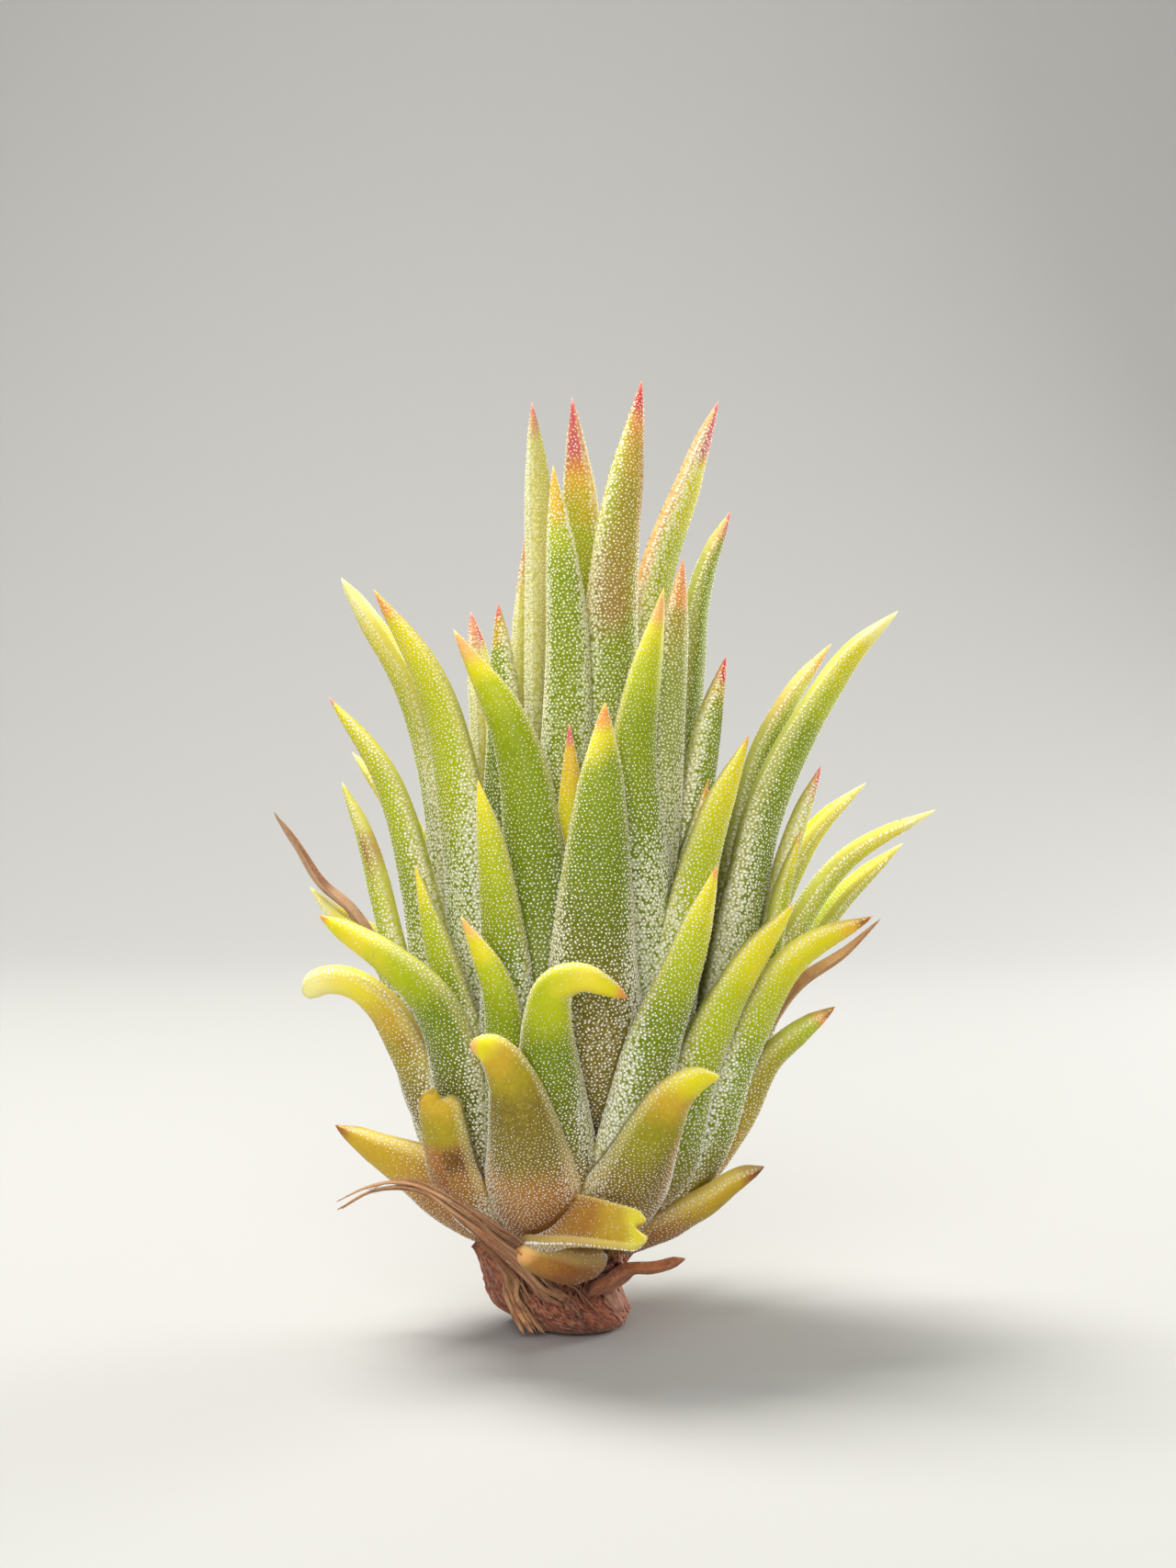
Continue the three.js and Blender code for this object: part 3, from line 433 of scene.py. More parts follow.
def leaf_surface(leaf, rings):
    """The leaf's outside and its channel as grids of points, and each ring's share of the length"""
    points, tangents, normals, length = midrib(leaf)
    s = 1 - (1 - np.arange(rings) / rings) ** 1.12
    place = s * FRAME_STEPS
    steps = np.arange(FRAME_STEPS + 1)
    centre, tangent, outward = (
        np.stack([np.interp(place, steps, rows[:, k]) for k in range(3)], axis=1)
        for rows in (points, tangents, normals))
    outward = unit(outward)
    across = unit(np.cross(tangent, outward))
    half = half_width(leaf, s)
    blade = smooth((s - 0.1) / 0.4)
    sheath_thick = min(SHEATH_THICK, leaf.thick or SHEATH_THICK)
    thick = np.minimum(mix(sheath_thick, leaf.thick or BLADE_THICK, blade),
                       1.1 * half + 0.25 * np.minimum(1, half / 0.5))
    edge = np.minimum(EDGE_THICK, 0.6 * thick)
    sheath_arch = min(SHEATH_ARCH, leaf.arch or SHEATH_ARCH)
    arch = half * mix(sheath_arch, leaf.arch or BLADE_ARCH, blade)
    middle = arch - thick / 2

    # the flesh is a little uneven, more so on the broad parts
    rng = np.random.default_rng(leaf.seed)
    phase = rng.uniform(0, 2 * math.pi, 4)
    swell = 1 + 0.018 * np.sin(9 * s + phase[0]) + 0.012 * np.sin(21 * s + phase[1])
    half = half * swell

    def sheet(turn, wide, rise, drop):
        side = wide[:, None] * np.sin(turn)[None, :]
        out = rise[:, None] * np.cos(turn)[None, :] - drop[:, None] - middle[:, None]
        ripple = 0.03 * np.sin(26 * s[:, None] + 2.1 * turn[None, :] + phase[2])
        ripple = ripple * np.minimum(1, half / 1.5)[:, None]
        return (centre[:, None] + across[:, None] * side[..., None]
                + outward[:, None] * (out + ripple)[..., None])

    back = sheet(BACK_TURN, half, arch, np.zeros(rings))
    channel = sheet(CHANNEL_TURN, half - 0.35 * edge, arch + edge - thick, edge)
    if leaf.notch:
        cut_notch(leaf, (back, channel), s, half, length, tangent)
    return {"leaf": leaf, "s": s, "back": back, "channel": channel, "foot": points[0],
            "tip": points[-1], "length": length, "tangent": tangent}


def cut_notch(leaf, sheets, s, half, length, tangent):
    """Draws the middle of a torn tip back towards the foot, which leaves two points"""
    sideways, deep, reach = leaf.notch
    for sheet, turn in zip(sheets, (BACK_TURN, CHANNEL_TURN)):
        side = half[:, None] * np.sin(turn)[None, :]
        wedge = np.clip(1 - np.abs(side - sideways) / reach, 0, 1)
        near_tip = smooth((s * length - (length - 2.2 * deep)) / (2.2 * deep))
        sheet -= tangent[:, None] * (deep * wedge * near_tip[:, None])[..., None]


def closed_faces(rows, count):
    """Faces of a closed body of rings, whose foot and tip points come after the rings' own"""
    faces = []
    last = (rows - 1) * count
    for j in range(count):
        k = (j + 1) % count
        faces.append((rows * count, k, j))
        for a in range(0, last, count):
            faces.append((a + j, a + k, a + count + k, a + count + j))
        faces.append((last + j, last + k, rows * count + 1))
    return faces


def on_rings(values, shape, ends=(0, 0)):
    """Values for each point of the rings, and for the foot and tip points"""
    return np.append(np.broadcast_to(values, shape).ravel(), ends)


def leaf_mesh(surface):
    """Vertices, faces and attributes of the closed leaf"""
    leaf = surface["leaf"]
    grid = np.concatenate([surface["back"], surface["channel"]], axis=1)
    shape = grid.shape[:2]
    tip = surface["tip"]
    if leaf.notch:
        tip = tip - surface["tangent"][-1] * leaf.notch[1]
    points = np.vstack([grid.reshape(-1, 3), surface["foot"], tip])
    along = on_rings(surface["s"][:, None], shape, (0, 1))
    across = on_rings(np.sin(np.concatenate([BACK_TURN, CHANNEL_TURN])), shape)
    inside = on_rings(np.concatenate([np.zeros(BACK_POINTS), np.ones(CHANNEL_POINTS)]), shape)
    powder = scale_cover(LOOKS[leaf.look], along, across, inside, points[:, 2])
    powder[-2:] = 0
    return points, closed_faces(*shape), {
        "along": along, "across": across, "channel": inside, "powder": powder,
        "tint": np.full(len(points), (leaf.seed % 997) / 997),
    }


def scale_cover(style, along, across, inside, height):
    """How thickly scales lie, from 0 to about 1, at places on a leaf"""
    low, high = style["scales"]
    cover = mix(low, high, smooth((along - 0.44) / 0.38))
    cover = cover * mix(0.85, 1.35, smooth((np.abs(across) - 0.4) / 0.5))
    margin = smooth((np.abs(across) - 0.75) / 0.25)
    cover = np.maximum(cover, 0.8 * margin * np.minimum(1, low))
    cover = np.where(inside > 0.5, 0.75 * cover, cover)
    # scales thin out low down, which also paints shade near the foot where the leaves cover each other
    cover = cover * mix(0.55, 1, smooth((height - 5) / 18))
    return cover * (1 - 0.5 * smooth((along - 0.93) / 0.07))


def smooth_object(name, points, faces, material):
    mesh = bpy.data.meshes.new(name)
    mesh.from_pydata(points, [], faces)
    mesh.update()
    mesh.polygons.foreach_set("use_smooth", np.ones(len(mesh.polygons), bool))
    mesh.materials.append(material)
    made = bpy.data.objects.new(name, mesh)
    bpy.context.scene.collection.objects.link(made)
    return made


def make_object(name, points, faces, attributes, material, slot):
    """A piece of the plant, from points in millimetres"""
    piece = smooth_object(name, (points * MM).tolist(), faces, material)
    for key, values in attributes.items():
        layer = piece.data.attributes.new(key, "FLOAT", "POINT")
        layer.data.foreach_set("value", np.asarray(values, np.float32))
    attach(piece, "root")
    return piece


# Materials
def new_material(name):
    material = bpy.data.materials.new(name)
    material.use_nodes = True
    tree = material.node_tree
    tree.nodes.clear()
    return material, tree


class Value:
    """A value in a material, which can be reckoned with"""

    def __init__(self, tree, socket):
        self.tree = tree
        self.socket = socket

    def math(self, operation, *others, clamp=False):
        return node(self.tree, "ShaderNodeMath", (self,) + others, operation=operation, use_clamp=clamp)

    def __add__(self, other):
        return self.math("ADD", other)

    def __sub__(self, other):
        return self.math("SUBTRACT", other)

    def __mul__(self, other):
        return self.math("MULTIPLY", other)


def put(socket, value):
    """Links a value to a socket, or sets it; a colour of three numbers is one as seen"""
    if isinstance(value, Value):
        value.tree.links.new(value.socket, socket)
    elif socket.type == "RGBA" and len(value) == 3:
        socket.default_value = srgb(*value)
    else:
        socket.default_value = value


def node(tree, kind, inputs=(), output=0, **properties):
    """An output of a new shader node, whose inputs are given in order or by name"""
    made = tree.nodes.new(kind)
    for key, value in properties.items():
        setattr(made, key, value)
    for key, value in (inputs.items() if isinstance(inputs, dict) else enumerate(inputs)):
        put(made.inputs[key], value)
    return Value(tree, made.outputs[output])


def attribute(tree, name):
    return node(tree, "ShaderNodeAttribute", output="Fac", attribute_name=name)


def blend(factor, first, second, kind="MIX"):
    tree = next(value.tree for value in (factor, first) if isinstance(value, Value))
    inputs = {0: factor, 6: first, 7: second}
    return node(tree, "ShaderNodeMix", inputs, 2, data_type="RGBA", blend_type=kind)


def ramp(factor, stops):
    made = factor.tree.nodes.new("ShaderNodeValToRGB")
    made.color_ramp.interpolation = "EASE"
    elements = made.color_ramp.elements
    while len(elements) < len(stops):
        elements.new(0.5)
    for element, (place, color) in zip(elements, stops):
        element.position = place
        element.color = srgb(*COLORS[color])
    put(made.inputs[0], factor)
    return Value(factor.tree, made.outputs[0])


def noise(where, scale, detail=2.0, rough=0.5):
    inputs = {"Vector": where, "Scale": scale, "Detail": detail, "Roughness": rough}
    return node(where.tree, "ShaderNodeTexNoise", inputs, noise_dimensions="3D")


def millimetres(tree):
    """Places on the piece, in millimetres"""
    places = node(tree, "ShaderNodeTexCoord", output="Object")
    inputs = {"Vector": places, "Scale": (1 / MM, 1 / MM, 1 / MM)}
    return node(tree, "ShaderNodeMapping", inputs, vector_type="POINT")


def height_of(where):
    return node(where.tree, "ShaderNodeSeparateXYZ", (where,), "Z")


def between(value, low, high):
    """From 0 to 1 as a value goes from low to high"""
    inputs = {"Value": value, "From Min": low, "From Max": high}
    return node(value.tree, "ShaderNodeMapRange", inputs, interpolation_type="SMOOTHSTEP")


def surface_of(tree, inputs, relief=None, strength=0.0, distance=0.0):
    """The material's surface, with a bump of that distance in millimetres if it has relief"""
    if relief:
        bump = {"Strength": strength, "Distance": distance * MM, "Height": relief}
        inputs["Normal"] = node(tree, "ShaderNodeBump", bump)
    output = tree.nodes.new("ShaderNodeOutputMaterial")
    put(output.inputs[0], node(tree, "ShaderNodeBsdfPrincipled", inputs))


def leaf_material(name):
    """Flesh of a leaf: its colours from the sheath to the tip, veins and a fine bed of scales"""
    style = LOOKS[name]
    material, tree = new_material("leaf_" + name)
    where = millimetres(tree)
    along, across, powder, channel, tint = (
        attribute(tree, key) for key in ("along", "across", "powder", "channel", "tint"))

    # the colours wander a little up and down the leaf and from leaf to leaf
    wander = (noise(where, 0.22) - 0.5) * 0.13
    height = along + wander + (tint - 0.5) * 0.05
    color = ramp(height, style["stops"])
    for patch, strength, start, end, inner, outer in style["patches"]:
        rise = between(height, start, start + 0.08)
        fall = between(height, end + 0.06, end - 0.02)
        side = across + wander
        if inner < 0 < outer:
            side = between(side.math("ABSOLUTE"), outer, 0.1)
        else:
            side = between(side, inner, outer)
        color = blend(rise * fall * side * strength, color, COLORS[patch])
    if style["lining"]:
        lined = channel * between(height, 0.5, 0.75)
        color = blend(lined * 0.85, color, COLORS[style["lining"]])

    # sheaths turn tan near the foot of the plant
    low_down = between(height_of(where) + wander, 17.0, 7.0) * between(along, 0.75, 0.35)
    color = blend(low_down * 0.8, color, SHEATH_TAN)

    # fine veins run lengthwise, margins are paler, and the flesh itself has a fine grain
    veins = (across * 34.0).math("SINE")
    color = blend(veins * 0.02 + 0.02, color, VEIN_GREEN)
    rim = between(across.math("ABSOLUTE"), 0.8, 1.0)
    color = blend(rim * 0.35, color, RIM_CREAM)
    speckle = between(noise(where, 4.5), 0.42, 0.7)
    color = blend(speckle * 0.14, color, GRAIN_YELLOW)

    # the bed of fine scales between the large ones, with painted shade in the gaps where it is thick
    cells = node(tree, "ShaderNodeTexVoronoi", {"Vector": where, "Scale": 1.1 / style["spacing"]},
                 "Distance", voronoi_dimensions="3D", feature="F1")
    thin = powder.math("MINIMUM", 1.4)
    spot = (thin * 0.3 + 0.2 - cells).math("MULTIPLY", 7.0, clamp=True)
    gap_shade = (spot * -1.0 + 1.0) * (thin * 0.2)
    color = blend(gap_shade, color, blend(1.0, color, GAP_SHADE, "MULTIPLY"))
    spot = spot * (between(thin, 0.8, 1.35) * 0.5 + 0.08)
    color = blend(spot, color, POWDER)

    # painted shade: the channel is a little darker
    shade = channel * -0.06 + 1.0
    color = blend(1.0, color, node(tree, "ShaderNodeCombineColor", (shade, shade, shade)), "MULTIPLY")
    relief = noise(where, 3.0, 3.0) * 0.5 + spot + veins * 0.05
    surface_of(tree, {
        "Base Color": color,
        "Roughness": powder.math("MINIMUM", 1.0) * 0.25 + 0.42,
        "Subsurface Weight": 0.4, "Subsurface Radius": (1.0, 0.85, 0.2), "Subsurface Scale": 0.9 * MM,
        "Specular IOR Level": 0.18, "Sheen Weight": 0.04, "Sheen Roughness": 0.45,
        "Sheen Tint": (1.0, 0.98, 0.82, 1.0),
    }, relief, 0.5, 0.04)
    return material


def scale_material():
    material, tree = new_material("scales")
    high_up = between(height_of(millimetres(tree)), 24.0, 52.0)
    surface_of(tree, {
        "Base Color": blend(high_up, (255, 254, 240), (252, 250, 206)),
        "Roughness": 0.5, "Subsurface Weight": 0.3, "Subsurface Radius": (1.0, 1.0, 0.7),
        "Subsurface Scale": 0.15 * MM, "Sheen Weight": 0.4,
    })
    return material


def dry_material(name, dark, light, fibres):
    """Dry leaf: papery and a little translucent, with lengthwise fibres and blotches of painted shadow"""
    material, tree = new_material(name)
    where = millimetres(tree)
    place = (attribute(tree, "across") * fibres, attribute(tree, "along") * 5.0)
    inputs = {"Vector": node(tree, "ShaderNodeCombineXYZ", place), "Scale": 1.0, "Detail": 3.5}
    fibre = node(tree, "ShaderNodeTexNoise", inputs, noise_dimensions="2D")
    streak = between(fibre, 0.32, 0.68)
    color = blend(streak * 0.7 + 0.15, dark, light)
    # painted shadow: dark blotches at random places
    shadow_blotch = between(noise(where, 0.5, 4.0, 0.6), 0.5, 0.78)
    color = blend(shadow_blotch * 0.7, color, tuple(0.66 * value for value in dark))
    crumbs = between(noise(where, 3.5, 3.0), 0.48, 0.68)
    color = blend(crumbs * 0.26, color, CRUMB_PINK)
    surface_of(tree, {
        "Base Color": color,
        "Roughness": 0.78,
        "Subsurface Weight": 0.3, "Subsurface Radius": (1.0, 0.45, 0.25), "Subsurface Scale": 0.7 * MM,
        "Sheen Weight": 0.15,
    }, streak + crumbs * 0.6, 0.7, 0.1)
    return material


# Scales and hairs
def on_sheet(sheet, ring_shares, share, column):
    """Places, normals and lengthwise directions on a grid of points"""
    row = np.interp(share, ring_shares, np.arange(len(ring_shares)))
    row = np.clip(row, 0, sheet.shape[0] - 1.001)
    column = np.clip(column, 0, sheet.shape[1] - 1.001)
    i, j = row.astype(int), column.astype(int)
    up, over = (row - i)[:, None], (column - j)[:, None]
    near, near_next = sheet[i, j], sheet[i, j + 1]
    far, far_next = sheet[i + 1, j], sheet[i + 1, j + 1]
    points = mix(mix(near, near_next, over), mix(far, far_next, over), up)
    forward = unit(mix(far - near, far_next - near_next, over))
    sideways = mix(near_next - near, far_next - far, up)
    return points, unit(np.cross(sideways, forward)), forward


def scale_places(surface, spacing, rng):
    """Places, normals, lengthwise directions and cover of the scales strewn over one leaf"""
    style = LOOKS[surface["leaf"].look]
    shares = surface["s"]
    rows = int(surface["length"] / (0.87 * spacing))
    found = []
    for side, turns, inside in (("back", BACK_TURN, 0.0), ("channel", CHANNEL_TURN, 1.0)):
        sheet = surface[side]
        widths = np.linalg.norm(np.diff(sheet, axis=1), axis=2)
        arcs = np.hstack([np.zeros((len(sheet), 1)), np.cumsum(widths, axis=1)])
        share, column = [], []
        for row in range(1, rows):
            arc = arcs[int(np.interp(row / rows, shares, np.arange(len(shares))))]
            count = int(arc[-1] / spacing)
            wanted = np.arange(count) + 0.25 + 0.5 * (row % 2) + rng.uniform(-0.27, 0.27, count)
            wanted = np.clip(wanted / max(count, 1), 0.01, 0.99) * arc[-1]
            column.append(np.interp(wanted, arc, np.arange(len(arc))))
            share.append((row + rng.uniform(-0.32, 0.32, count)) / rows)
        share, column = np.concatenate(share), np.concatenate(column)
        points, normals, forward = on_sheet(sheet, shares, share, column)
        across = np.sin(np.interp(column, np.arange(len(turns)), turns))
        cover = scale_cover(style, share, across, np.full(len(share), inside), points[:, 2])
        keep = cover > rng.uniform(0.1, 0.35, len(share))
        keep &= (share < shares[-1]) & (share > 0.3 * inside)
        found.append(np.hstack([points, normals, forward, cover[:, None]])[keep])
    return np.vstack(found)


def margin_places(surface, spacing, rng):
    """Places, outward directions and lengthwise directions of the hairs along both margins"""
    back = surface["back"]
    low, high = LOOKS[surface["leaf"].look]["scales"]
    found = []
    for edge, inner in ((0, 1), (-1, -2)):
        line = back[:, edge]
        arc = arc_lengths(line)
        wanted = np.arange(0.3 * arc[-1], 0.97 * arc[-1], spacing)
        wanted = wanted + rng.uniform(-0.4, 0.4, len(wanted)) * spacing
        index = np.clip(np.searchsorted(arc, wanted) - 1, 0, len(line) - 2)
        part = ((wanted - arc[index]) / np.maximum(np.diff(arc)[index], 1e-6))[:, None]
        points = mix(line[index], line[index + 1], part)
        beside = mix(back[index, inner], back[index + 1, inner], part)
        outward = unit(points - beside)
        forward = unit(line[index + 1] - line[index])
        share = np.interp(index + part[:, 0], np.arange(len(line)), surface["s"])
        cover = mix(low, high, smooth((share - 0.44) / 0.38))
        found.append(np.hstack([points, outward, forward, np.clip(cover, 0.15, 1.2)[:, None]]))
    return np.vstack(found)


def in_the_open(places, solids):
    """Leaves out the places that another leaf covers"""
    kept = []
    for row in places:
        normal = Vector(row[3:6])
        start = Vector(row[:3]) + normal * 0.06
        hit, hit_normal, _, distance = solids.ray_cast(start, normal, 2.2)
        covered = hit is not None and (hit_normal.dot(normal) > 0 or distance < 0.4)
        kept.append(not covered)
    return places[np.array(kept, bool)]


def scale_solids(places, radius, height, lean, rng):
    """Low cones sunk into the leaf, one on each place, that lean towards its tip"""
    count = len(places)
    centre, normal, forward, cover = places[:, :3], places[:, 3:6], places[:, 6:9], places[:, 9]
    forward = unit(forward - normal * np.sum(forward * normal, axis=1, keepdims=True))
    side = np.cross(normal, forward)
    size = radius * (0.4 + 0.6 * np.minimum(cover, 1.7)) * rng.uniform(0.8, 1.15, count)
    start = rng.uniform(0, 2 * math.pi, count)
    corners = []
    for k in range(SCALE_CORNERS):
        angle = start + 2 * math.pi * k / SCALE_CORNERS
        reach = size * rng.uniform(0.85, 1.15, count)
        corners.append(centre + forward * (reach * np.cos(angle))[:, None]
                       + side * (reach * np.sin(angle))[:, None] - normal * 0.015)
    apex = centre + normal * height * rng.uniform(0.7, 1.3, count)[:, None] + forward * lean * size[:, None]
    points = np.stack(corners + [apex], axis=1).reshape(-1, 3)
    base = (np.arange(count) * (SCALE_CORNERS + 1))[:, None]
    sides = [(k, (k + 1) % SCALE_CORNERS, SCALE_CORNERS) for k in range(SCALE_CORNERS)]
    faces = (base[:, :, None] + np.array(sides)[None]).reshape(-1, 3)
    return points, faces.tolist(), {}


def merged(meshes):
    """Several meshes of vertices, faces and attributes as one"""
    points, faces, attributes, offset = [], [], {}, 0
    for some_points, some_faces, some_attributes in meshes:
        points.append(some_points)
        faces += [tuple(i + offset for i in face) for face in some_faces]
        for key, values in some_attributes.items():
            attributes.setdefault(key, []).append(values)
        offset += len(some_points)
    return np.vstack(points), faces, {key: np.concatenate(rows) for key, rows in attributes.items()}


# Dry remains
DRY = [
    Leaf("amber", 7.9, 1.7, [(-9.6, 2, 16), (-13.4, 3, 26.5), (-15.6, 3, 29.9), (-17.9, 3, 31.9),
         (-19.8, 2.5, 35), (-21.2, 2, 37.2)], taper=0.5, thick=0.8, arch=0.3, twist=5, sections=12,
         name="dry_leaf_1"),
    Leaf("amber", 7.85, 2.2, [(10.2, -3.6, 13.5), (14.8, -3, 22.2), (17, -3, 25.2), (20.2, -3, 27.4),
         (22.8, -3, 29.8)], taper=0.5, thick=0.9, arch=0.3, name="dry_leaf_2"),
    Leaf("amber", 2.4, 2, [(3.6, -6.4, 4.4), (4.8, -7.6, 5.6), (6.4, -8, 5.8), (8.7, -7.4, 6.3)], taper=0.4,
         thick=0.8, arch=0.3, sections=9, foot=(2, -3.8, 3), name="dry_curl"),
]
# Dark and light colours of the dry pieces, and how many fibres lie across
DRY_LOOKS = {
    "dry_lump": ((94, 38, 24), (152, 80, 56), 9.0),
    "dry_layers": ((106, 44, 28), (200, 120, 86), 7.0),
    "dry_strips": ((140, 82, 48), (224, 162, 110), 3.0),
    "dry_leaf_1": ((132, 78, 48), (240, 200, 162), 6.0),
    "dry_leaf_2": ((164, 112, 66), (226, 180, 122), 4.0),
    "dry_curl": ((134, 64, 32), (206, 132, 78), 7.0),
    # the root's own pale pink, darkened a little as painted shade; the stem shares these colours
    "root_pale": ((166, 112, 94), (212, 164, 142), 13.0),
}
# The paths of the two strips that the sheath runs out in
STRIP_PATHS = (
    ((1.8, -4.9, 1.6), (0.6, -5.6, 3.2), (-0.6, -6.6, 4.2), (-1.2, -7.6, 4.9), (-3, -10.8, 7.6),
     (-4.6, -12.9, 9.3), (-6.6, -13.6, 11), (-9.2, -12.6, 12.3), (-11.4, -10.6, 12.2),
     (-13.3, -9.2, 11.5), (-15.4, -8, 10.2)),
    ((-1.6, -5.1, 0.8), (-2.7, -5.3, 2.4), (-3.4, -5.9, 4), (-3.6, -6.4, 5.2), (-5.4, -9.6, 8.2),
     (-7, -10.8, 9.9), (-8.7, -10.8, 11.4)),
)
STRANDS = 28
RIBBONS = 7  # how many of the strands are flat ribbons
LONG_RIBBONS = 3
# Outline of the crumpled lump inside the sheath's layers, (radius, height)
DRY_LUMP = ((0, 0), (2.5, 0), (3.3, 0.25), (3.9, 0.9), (4.2, 1.7), (4.4, 3), (4.6, 4.2), (4.9, 5),
            (4.4, 5.3), (0, 5.3))
# Its papery layers: middle and half spread round it in degrees, lower and upper edge, how far out,
# and how far its fibres lean
LAYERS = (
    (-156, 50, 0.3, 6.4, 0.25, 0.9), (-112, 46, 0.12, 4.9, 0.55, 1.1), (-66, 44, 0.12, 4.2, 0.35, 0.9),
    (-30, 44, 0.3, 4.6, 0.2, 0.4), (28, 54, 0.2, 5.6, 0.35, 0.3), (95, 58, 0.15, 5.2, 0.6, 0.2),
    (150, 50, 0.25, 5.9, 0.3, 0.5), (-136, 26, 0.5, 6.2, 0.85, 1.0), (-88, 24, 0.3, 3.4, 0.7, 1.2),
)
DRY_FOLDS = 7
DRY_RIDGES = 9
SPOT_CENTRE = (1.1, -1.3)
SHEATH_CENTRE = (-0.6, -0.5)
SHEATH_CENTRE_FROM = 3.0


def lump_radius(z):
    outline = np.array(DRY_LUMP[1:-1])
    return np.interp(z, outline[:, 1], outline[:, 0])


def round_the_sheath(turn, z, out):
    """Points on the dry sheath at an angle and a height, moved outwards"""
    fold = 1 + 0.05 * smooth(z / 2) * np.sin(DRY_FOLDS * turn)
    lift = np.where(z > 2, 0.35 * (z - 2) * (0.5 - 0.5 * np.cos(turn + 0.5)), 0)
    rise = smooth(z / SHEATH_CENTRE_FROM)
    radius = lump_radius(z) * fold + out
    x = radius * np.cos(turn) + mix(SPOT_CENTRE[0], SHEATH_CENTRE[0], rise)
    y = radius * np.sin(turn) + mix(SPOT_CENTRE[1], SHEATH_CENTRE[1], rise)
    return np.stack([x, y, z + lift], axis=-1)


def lump_mesh():
    """The crumpled lump of old sheaths, closed at its flat spot and its top"""
    around, rows = 120, 40
    shape = (rows, around)
    z = np.linspace(0, DRY_LUMP[-1][1] - 0.01, rows)[:, None]
    turn = (np.arange(around) * 2 * math.pi / around)[None, :]
    crumple = 0.16 * np.sin(2.3 * z + 5 * turn) + 0.12 * np.sin(4.1 * z - 9 * turn)
    points = round_the_sheath(turn + 0 * z, z + 0 * turn, crumple * smooth(z / 1.5))
    bottom = SPOT_CENTRE + (0.0,)
    top = SHEATH_CENTRE + (DRY_LUMP[-1][1] + 0.6,)
    return np.vstack([points.reshape(-1, 3), bottom, top]), closed_faces(rows, around), {
        "across": on_rings(4 * np.sin(turn / 2), shape), "along": on_rings(z / 8, shape, (0, 1))}


def layer_mesh(turn, spread, low, high, out, tilt, rng):
    """One papery layer of the dry sheath: a thin closed sheet with ragged edges and fibre ridges"""
    columns, rows = 60, 22
    u = np.linspace(-1, 1, columns)[None, :]
    v = np.linspace(0, 1, rows)[:, None]
    phase = rng.uniform(0, 2 * math.pi, 6)
    jagged = rng.uniform(-0.3, 0.3, columns)[None, :]
    top = high + 0.45 * np.sin(6 * u + phase[0]) + 0.25 * np.sin(17 * u + phase[1]) + jagged
    z = np.maximum(mix(low, top - 0.6 * u ** 4, v), 0.1)
    ragged_side = 0.04 * np.sin(23 * v + phase[2]) + 0.03 * np.sin(57 * v + phase[3])
    angle = math.radians(turn) + math.radians(spread) * (u + ragged_side * np.abs(u)) - 0.3 * (v - 0.5)
    fibre = u + tilt * v
    ridges = 0.075 * np.sin(31 * fibre + phase[4]) + 0.05 * np.sin(53 * fibre + phase[5])
    wave = 0.2 * np.sin(5 * u + 2.5 * v + phase[2]) * v + 0.5 * v ** 4
    reach = (out + wave) * np.minimum(1, 3 * v + 0.15) + ridges
    outer = round_the_sheath(angle, z, reach)
    inner = round_the_sheath(angle, z, reach - 0.12)
    loop = np.concatenate([outer, inner[:, ::-1]], axis=1)
    count = 2 * columns
    faces = []
    for i in range(rows - 1):
        for j in range(count):
            k = (j + 1) % count
            faces.append((i * count + j, i * count + k, (i + 1) * count + k, (i + 1) * count + j))
    last = (rows - 1) * count
    for j in range(columns - 1):
        faces.append((j, count - 1 - j, count - 2 - j, j + 1))
        faces.append((last + j, last + j + 1, last + count - 2 - j, last + count - 1 - j))
    across = np.concatenate([fibre, fibre[:, ::-1]], axis=1).ravel() * spread / 25
    along = np.broadcast_to(v, (rows, count)).ravel()
    return loop.reshape(-1, 3), faces, {"across": across, "along": along}


def dry_leaf_mesh(leaf):
    """A shrunken leaf with fibres as ridges"""
    surface = leaf_surface(leaf, HOOK_RINGS)
    back_ridge = 0.05 * np.cos(DRY_RIDGES * BACK_TURN)[None, :, None]
    centre = surface["back"].mean(axis=1, keepdims=True)
    surface["back"] = surface["back"] + back_ridge * unit(surface["back"] - centre)
    points, faces, attributes = leaf_mesh(surface)
    return points, faces, {key: attributes[key] for key in ("across", "along")}


def strip_meshes(rng):
    """The strips that the sheath runs out in: flat ribbons and loose fibres, gathered to a tail"""
    made = []
    for path in STRIP_PATHS:
        gathered = np.linspace(1, 0.2, len(path))[:, None]
        for k in range(STRANDS):
            ribboned = k < RIBBONS
            shift = rng.uniform(-0.95, 0.95, 3) * (1, 0.3, 1)
            wander = rng.uniform(-0.16, 0.16, (len(path), 3))
            line = np.array(path) + shift * gathered + wander
            line[:, 2] = np.maximum(line[:, 2], 0.35)
            first = 0 if ribboned else rng.integers(0, 3)
            last = len(path) if k < LONG_RIBBONS else rng.integers(len(path) - 4, len(path))
            points = curve(line[first:last], 40)[0]
            radius = rng.uniform(0.2, 0.32) if ribboned else rng.uniform(0.06, 0.12)
            t = np.linspace(0, 1, len(points))
            narrowing = np.maximum((1 - t) * np.minimum(1, 6 * t), 0.02) ** 0.4
            made.append(tube_mesh(points, radius * narrowing, 6, 0.35 if ribboned else 0.8,
                                  rng.uniform(-4, 4)))
    return made


# The stem and its root stub
ROOT_FROM = (2, -2.4, 5)
ROOT_TO = (4.2, -5.1, 2.1)
ROOT_RADIUS = 0.6


